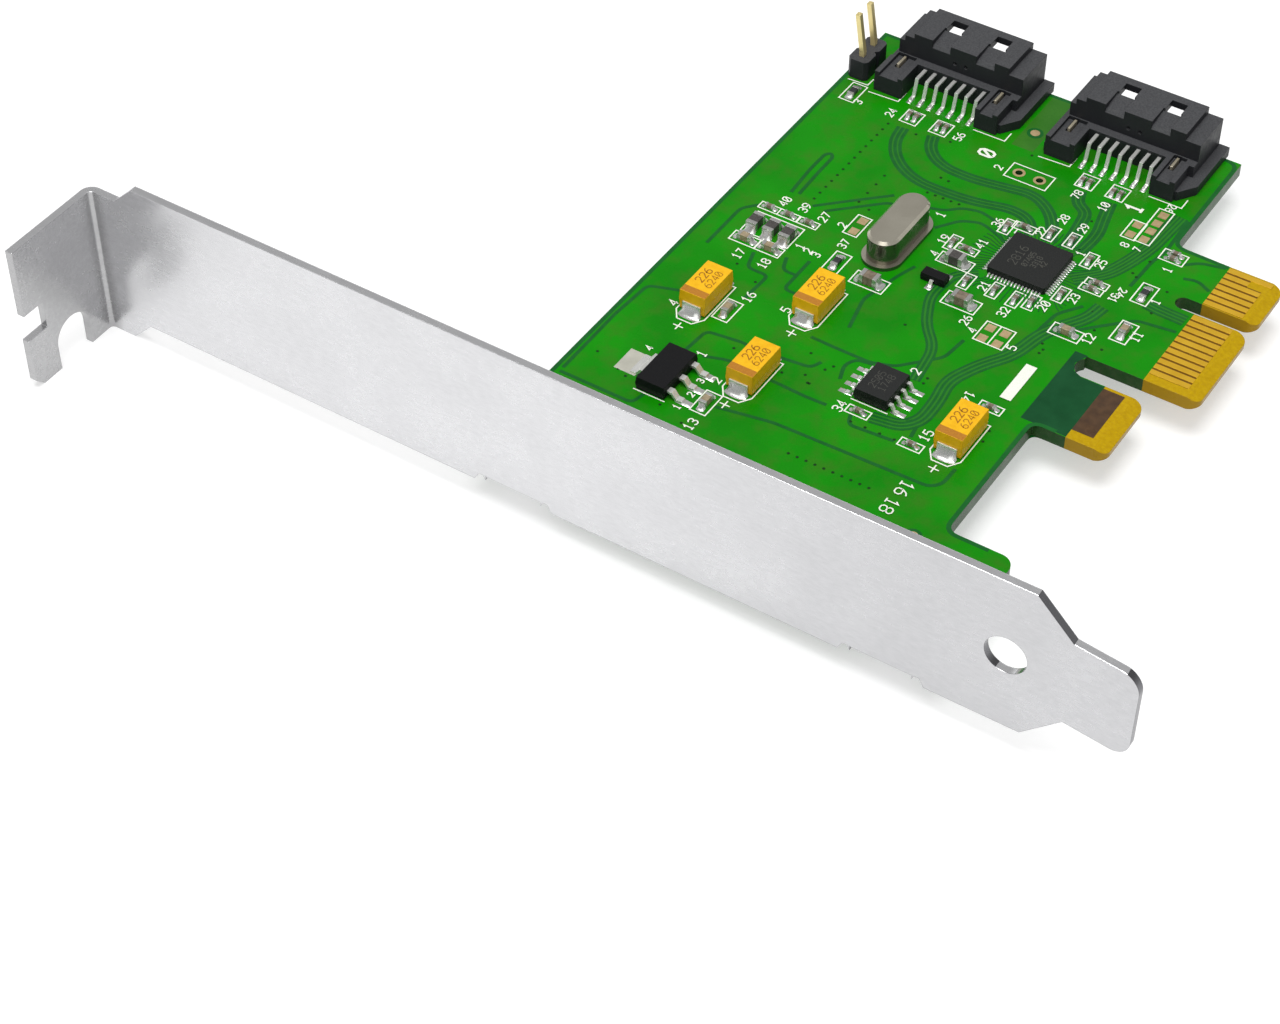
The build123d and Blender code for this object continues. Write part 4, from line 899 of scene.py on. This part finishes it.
# Pads: width along X and length along Y
REGULATOR_PAD = (1.7, 0.85)
REGULATOR_TAB_PAD = (2.6, 3.4)
MEMORY_PAD = (1.6, 0.62)
TRANSISTOR_PAD = (0.8, 0.9)
PORT_PAD = (0.55, 1.1)
# Fillets: width, height at the wall and run out from it
TANTALUM_FILLET = (2.5, 1.0, 0.95)
REGULATOR_FILLET = (0.9, 0.25, 0.5)
MEMORY_FILLET = (0.5, 0.2, 0.45)
TRANSISTOR_FILLET = (0.6, 0.14, 0.35)
CONTROLLER_FILLET = (0.22, 0.16, 0.35)
PORT_FILLET = (0.42, 0.18, 0.3)
# A chip part's fillet, as shares of the chip's width and height, and its run by the chip's length
CHIP_FILLET_WIDTH = 1.15
CHIP_FILLET_HEIGHT = 0.8
CHIP_FILLET_RUN = (0.28, 0.22)


class Solder:
    """Pads and concave fillets, gathered into one mesh."""

    def __init__(self):
        self.points, self.faces = [], []

    def pad(self, x, y, width, length):
        """A thin tinned pad with sloping sides."""
        start = len(self.points)
        w, h = width / 2, length / 2
        for inset, z in ((0.0, FACE), (PAD_SLOPE, FACE + PAD_Z)):
            self.points += [(x - w + inset, y - h + inset, z), (x + w - inset, y - h + inset, z),
                            (x + w - inset, y + h - inset, z), (x - w + inset, y + h - inset, z)]
        self.faces.append(tuple(start + i for i in (4, 5, 6, 7)))
        for i in range(4):
            j = (i + 1) % 4
            self.faces.append((start + i, start + j, start + 4 + j, start + 4 + i))

    def fillet(self, x, y, turn, width, height, run, steps=6):
        """A concave wedge from a wall at the middle (x, y) out along turn, with rounded flanks."""
        start = len(self.points)
        for i in range(steps + 1):
            t = i / steps
            for j in range(FILLET_ACROSS):
                u = -1 + 2 * j / (FILLET_ACROSS - 1)
                reach = run * (1 - FILLET_FLANK * abs(u) ** 3)
                slope = (1 - t) ** FILLET_HOLLOW * (1 - FILLET_SHOULDER * u ** 4)
                at_rim = abs(u) == 1 or i == steps
                z = PAD_Z * FILLET_RIM if at_rim else PAD_Z + (height - PAD_Z) * slope
                self.points.append((*reached((x, y), turn, t * reach, u * width / 2), FACE + z))
        for i in range(steps):
            for j in range(FILLET_ACROSS - 1):
                a = start + i * FILLET_ACROSS + j
                self.faces.append((a, a + FILLET_ACROSS, a + FILLET_ACROSS + 1, a + 1))


# Chip parts: length, width and height, direction, and middles
SMALL = (1.0, 0.5, 0.5)
MEDIUM = (1.6, 0.8, 0.8)
LARGE = (2.05, 1.25, 1.15)
RESISTOR = (1.6, 0.8, 0.45)
CHIPS = [
    (SMALL, 0, [(-31.3, -4.8), (-27.8, 1.9), (-16.95, -2.25), (-17.1, -3.35), (-28.35, -33.3),
                (-21.5, -34.65), (-17.35, -25.45), (-52.75, -10.25), (-50.35, -10.25),
                (-47.85, -10.25), (-12.0, 6.6), (-12.0, 5.75)]),
    (SMALL, 90, SMALL_ALONG_Y),
    (SMALL, 90, [(port + pair + side, PORT_PAIRS_Y) for port in PORTS for pair in PORT_PAIRS_X
                 for side in (-PAIR_HALF, PAIR_HALF)]),
    (MEDIUM, 0, [(-16.2, -11.0), (-52.2, -16.3), (-49.15, -16.3)]),
    (MEDIUM, 90, [(-11.15, -7.65), (-47.65, -27.25), (-42.0, -40.55)]),
    (LARGE, 0, [(-37.4, -15.15), (-27.65, -12.75), (-31.35, -7.25)]),
    (LARGE, 90, [(-52.5, -13.7), (-50.45, -13.7), (-48.45, -13.7)]),
    (RESISTOR, 90, [(-12.0, -1.0), (-55.5, 12.75), (-41.95, -14.25)]),
]


def soldering():
    work = Solder()
    for (length, width, height), turn, places in CHIPS:
        run = CHIP_FILLET_RUN[0] + CHIP_FILLET_RUN[1] * length
        for place in places:
            for side in (turn, turn + 180):
                work.fillet(*reached(place, side, length / 2, 0.0), side, width * CHIP_FILLET_WIDTH,
                            height * CHIP_FILLET_HEIGHT, run)
    for x, y in TANTALUMS:
        for side in (-1, 1):
            work.fillet(x, y + side * TANTALUM_END, 90 * side, *TANTALUM_FILLET)
    for along in row(REGULATOR_LEADS, REGULATOR_LEAD_PITCH):
        x, y = REGULATOR_PADS[0], REGULATOR_PADS[1] + along
        work.pad(x, y, *REGULATOR_PAD)
        work.fillet(x - REGULATOR_TOE, y, 0, *REGULATOR_FILLET)
    for along in row(MEMORY_LEADS, MEMORY_LEAD_PITCH):
        for side in (-1, 1):
            x, y = MEMORY[0] + side * MEMORY_TOES, MEMORY[1] + along
            work.pad(x, y, *MEMORY_PAD)
            work.fillet(x, y, 90 - 90 * side, *MEMORY_FILLET)
    for x, y, turn in TRANSISTOR_TOES:
        work.pad(x, y, *TRANSISTOR_PAD)
        work.fillet(x, y, turn, *TRANSISTOR_FILLET)
    for turn in (0, 90, 180, 270):
        for along in row(CONTROLLER_LEADS, CONTROLLER_LEAD_PITCH):
            work.fillet(*reached(CONTROLLER, turn, CONTROLLER_TOES, along), turn, *CONTROLLER_FILLET,
                        steps=3)
    for port in PORTS:
        for along in row(PORT_LEADS, PORT_LEAD_PITCH):
            work.pad(port + along, PORT_PADS_Y, *PORT_PAD)
            work.fillet(port + along, PORT_PADS_Y - PORT_TOE, -90, *PORT_FILLET)
    piece("solder", work.points, work.faces, SOLDER, smooth=True)
    wide = Solder()
    wide.pad(*REGULATOR_TAB, *REGULATOR_TAB_PAD)
    piece("tab_pad", wide.points, wide.faces, TAB_PAD)


# Print on the tops of the parts

BAND_OFFSET = -2.27           # the stripe's middle, from the capacitor's
BAND_SIZE = (3.04, 0.95)
# Numbers on a capacitor: text, place from its middle, height and stroke
CAPACITOR_NUMBERS = (("226", -0.62, 0.45, 0.95, 0.12), ("6240", 0.62, 0.35, 0.85, 0.09))
# Numbers on a chip: text, place along X from its middle, and height
CONTROLLER_NUMBERS = (("2816", -1.5, 1.0), ("07405", -0.2, 0.62), ("3318", 0.7, 0.62), ("42", 1.5, 0.62))
CONTROLLER_STROKE = 0.09
MEMORY_NUMBERS = (("2505", -0.6, 0.8), ("1748", 0.5, 0.8))
MEMORY_STROKE = 0.07


def chip_numbers(name, top, middle, numbers, stroke):
    sheet = Sheet(FACE + top + PRINT_LIFT)
    for text, dx, height in numbers:
        number(sheet, text, middle[0] + dx, middle[1], 90, height, stroke)
    sheet.build(name, CHIP_PRINT, "chip_black")


def tops():
    top = FACE + TANTALUM_TOP
    bands, numbers = Sheet(top + PRINT_LIFT / 2), Sheet(top + PRINT_LIFT)
    for x, y in TANTALUMS:
        bands.rectangle(x, y + BAND_OFFSET, *BAND_SIZE)
        for text, dx, dy, height, stroke in CAPACITOR_NUMBERS:
            number(numbers, text, x + dx, y + dy, 90, height, stroke)
    bands.build("capacitor_bands", CAP_BAND, "tantalum_yellow")
    numbers.build("capacitor_numbers", CAP_PRINT, "tantalum_yellow")
    chip_numbers("controller_numbers", CONTROLLER_TOP, CONTROLLER, CONTROLLER_NUMBERS, CONTROLLER_STROKE)
    chip_numbers("memory_numbers", MEMORY_TOP, MEMORY, MEMORY_NUMBERS, MEMORY_STROKE)


# Studio

FLOOR_DARK = (0.60, 0.60, 0.60)
FLOOR_LIGHT = (0.61, 0.61, 0.61)
FLOOR_CLOUDS = 6.0            # noise scale, in features per metre
FLOOR_REACH = 4000.0
FLOOR_LIFT = 0.46             # the floor's own light, to the camera and in reflections
SKY = 0.42
SKY_SEEN_LOW = 0.85           # in reflections, near the horizon
SKY_SEEN_HIGH = 0.34          # in reflections, overhead
SKY_FADE = (0.05, 0.5)        # the heights between which it darkens
# Lights: name, place, aim, diameter and power
LIGHTS = (("key", (-60, -110, 720), (-40, -15, 0), 480, 3.9),
          ("front", (150, -520, 420), (-40, -30, 0), 600, 1.1))


def floor():
    """A pale floor that keeps the card's shadow and shows white to the camera and in the metal."""
    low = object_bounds()[0][2] / MM
    material = bpy.data.materials.new("studio_floor")
    tree, links, shader = nodes_of(material)
    links.new(ramp(tree, noise(tree, FLOOR_CLOUDS), [(0.3, FLOOR_DARK), (0.7, FLOOR_LIGHT)]),
              shader.inputs["Base Color"])
    shader.inputs["Roughness"].default_value = 0.9
    shader.inputs["Specular IOR Level"].default_value = 0.0
    shader.inputs["Emission Color"].default_value = (1.0, 1.0, 1.0, 1.0)
    ray = tree.nodes.new("ShaderNodeLightPath")
    seen = either(tree, ray.outputs["Is Camera Ray"], ray.outputs["Is Glossy Ray"])
    links.new(math_node(tree, "MULTIPLY", seen, FLOOR_LIFT), shader.inputs["Emission Strength"])
    mesh = bpy.data.meshes.new("studio_floor")
    mesh.from_pydata([(x * FLOOR_REACH * MM, y * FLOOR_REACH * MM, low * MM)
                      for x, y in ((-1, -1), (1, -1), (1, 1), (-1, 1))], [], [(0, 1, 2, 3)])
    mesh.materials.append(material)
    obj = bpy.data.objects.new("studio_floor", mesh)
    bpy.context.scene.collection.objects.link(obj)


def area_light(name, place, aim, size, power):
    data = bpy.data.lights.new(name, "AREA")
    data.shape = "DISK"
    data.size = size * MM
    data.energy = power
    lamp = bpy.data.objects.new(name, data)
    lamp.location = [c * MM for c in place]
    dx, dy, dz = (a - p for a, p in zip(aim, place))
    lamp.rotation_euler = (math.atan2(math.hypot(dx, dy), -dz), 0, math.atan2(-dx, dy))
    bpy.context.scene.collection.objects.link(lamp)


def world():
    """An even sky for the light, with a darker top in reflections."""
    place = bpy.data.worlds.new("studio")
    bpy.context.scene.world = place
    place.use_nodes = True
    tree = place.node_tree
    background = tree.nodes["Background"]
    background.inputs["Color"].default_value = (1.0, 1.0, 1.0, 1.0)
    up = split_xyz(tree, tree.nodes.new("ShaderNodeTexCoord").outputs["Generated"])["Z"]
    seen = map_range(tree, up, *SKY_FADE, SKY_SEEN_LOW, SKY_SEEN_HIGH)
    strength = tree.nodes.new("ShaderNodeMix")
    strength.inputs[2].default_value = SKY
    tree.links.new(tree.nodes.new("ShaderNodeLightPath").outputs["Is Glossy Ray"], strength.inputs[0])
    tree.links.new(seen, strength.inputs[3])
    tree.links.new(strength.outputs[0], background.inputs["Strength"])


def camera():
    data = bpy.data.cameras.new("camera")
    data.lens = CAMERA_LENS
    data.sensor_width = SENSOR
    data.clip_start = 0.01
    data.clip_end = 20.0
    eye = bpy.data.objects.new("camera", data)
    eye.location = [c * MM for c in CAMERA_PLACE]
    eye.rotation_euler = [math.radians(a) for a in CAMERA_TURN]
    bpy.context.scene.collection.objects.link(eye)
    bpy.context.scene.camera = eye


dress_nodes()
silkscreen()
copper()
solder_side()
soldering()
tops()
floor()
world()
for light in LIGHTS:
    area_light(*light)
camera()
bpy.context.scene.view_settings.view_transform = "Standard"
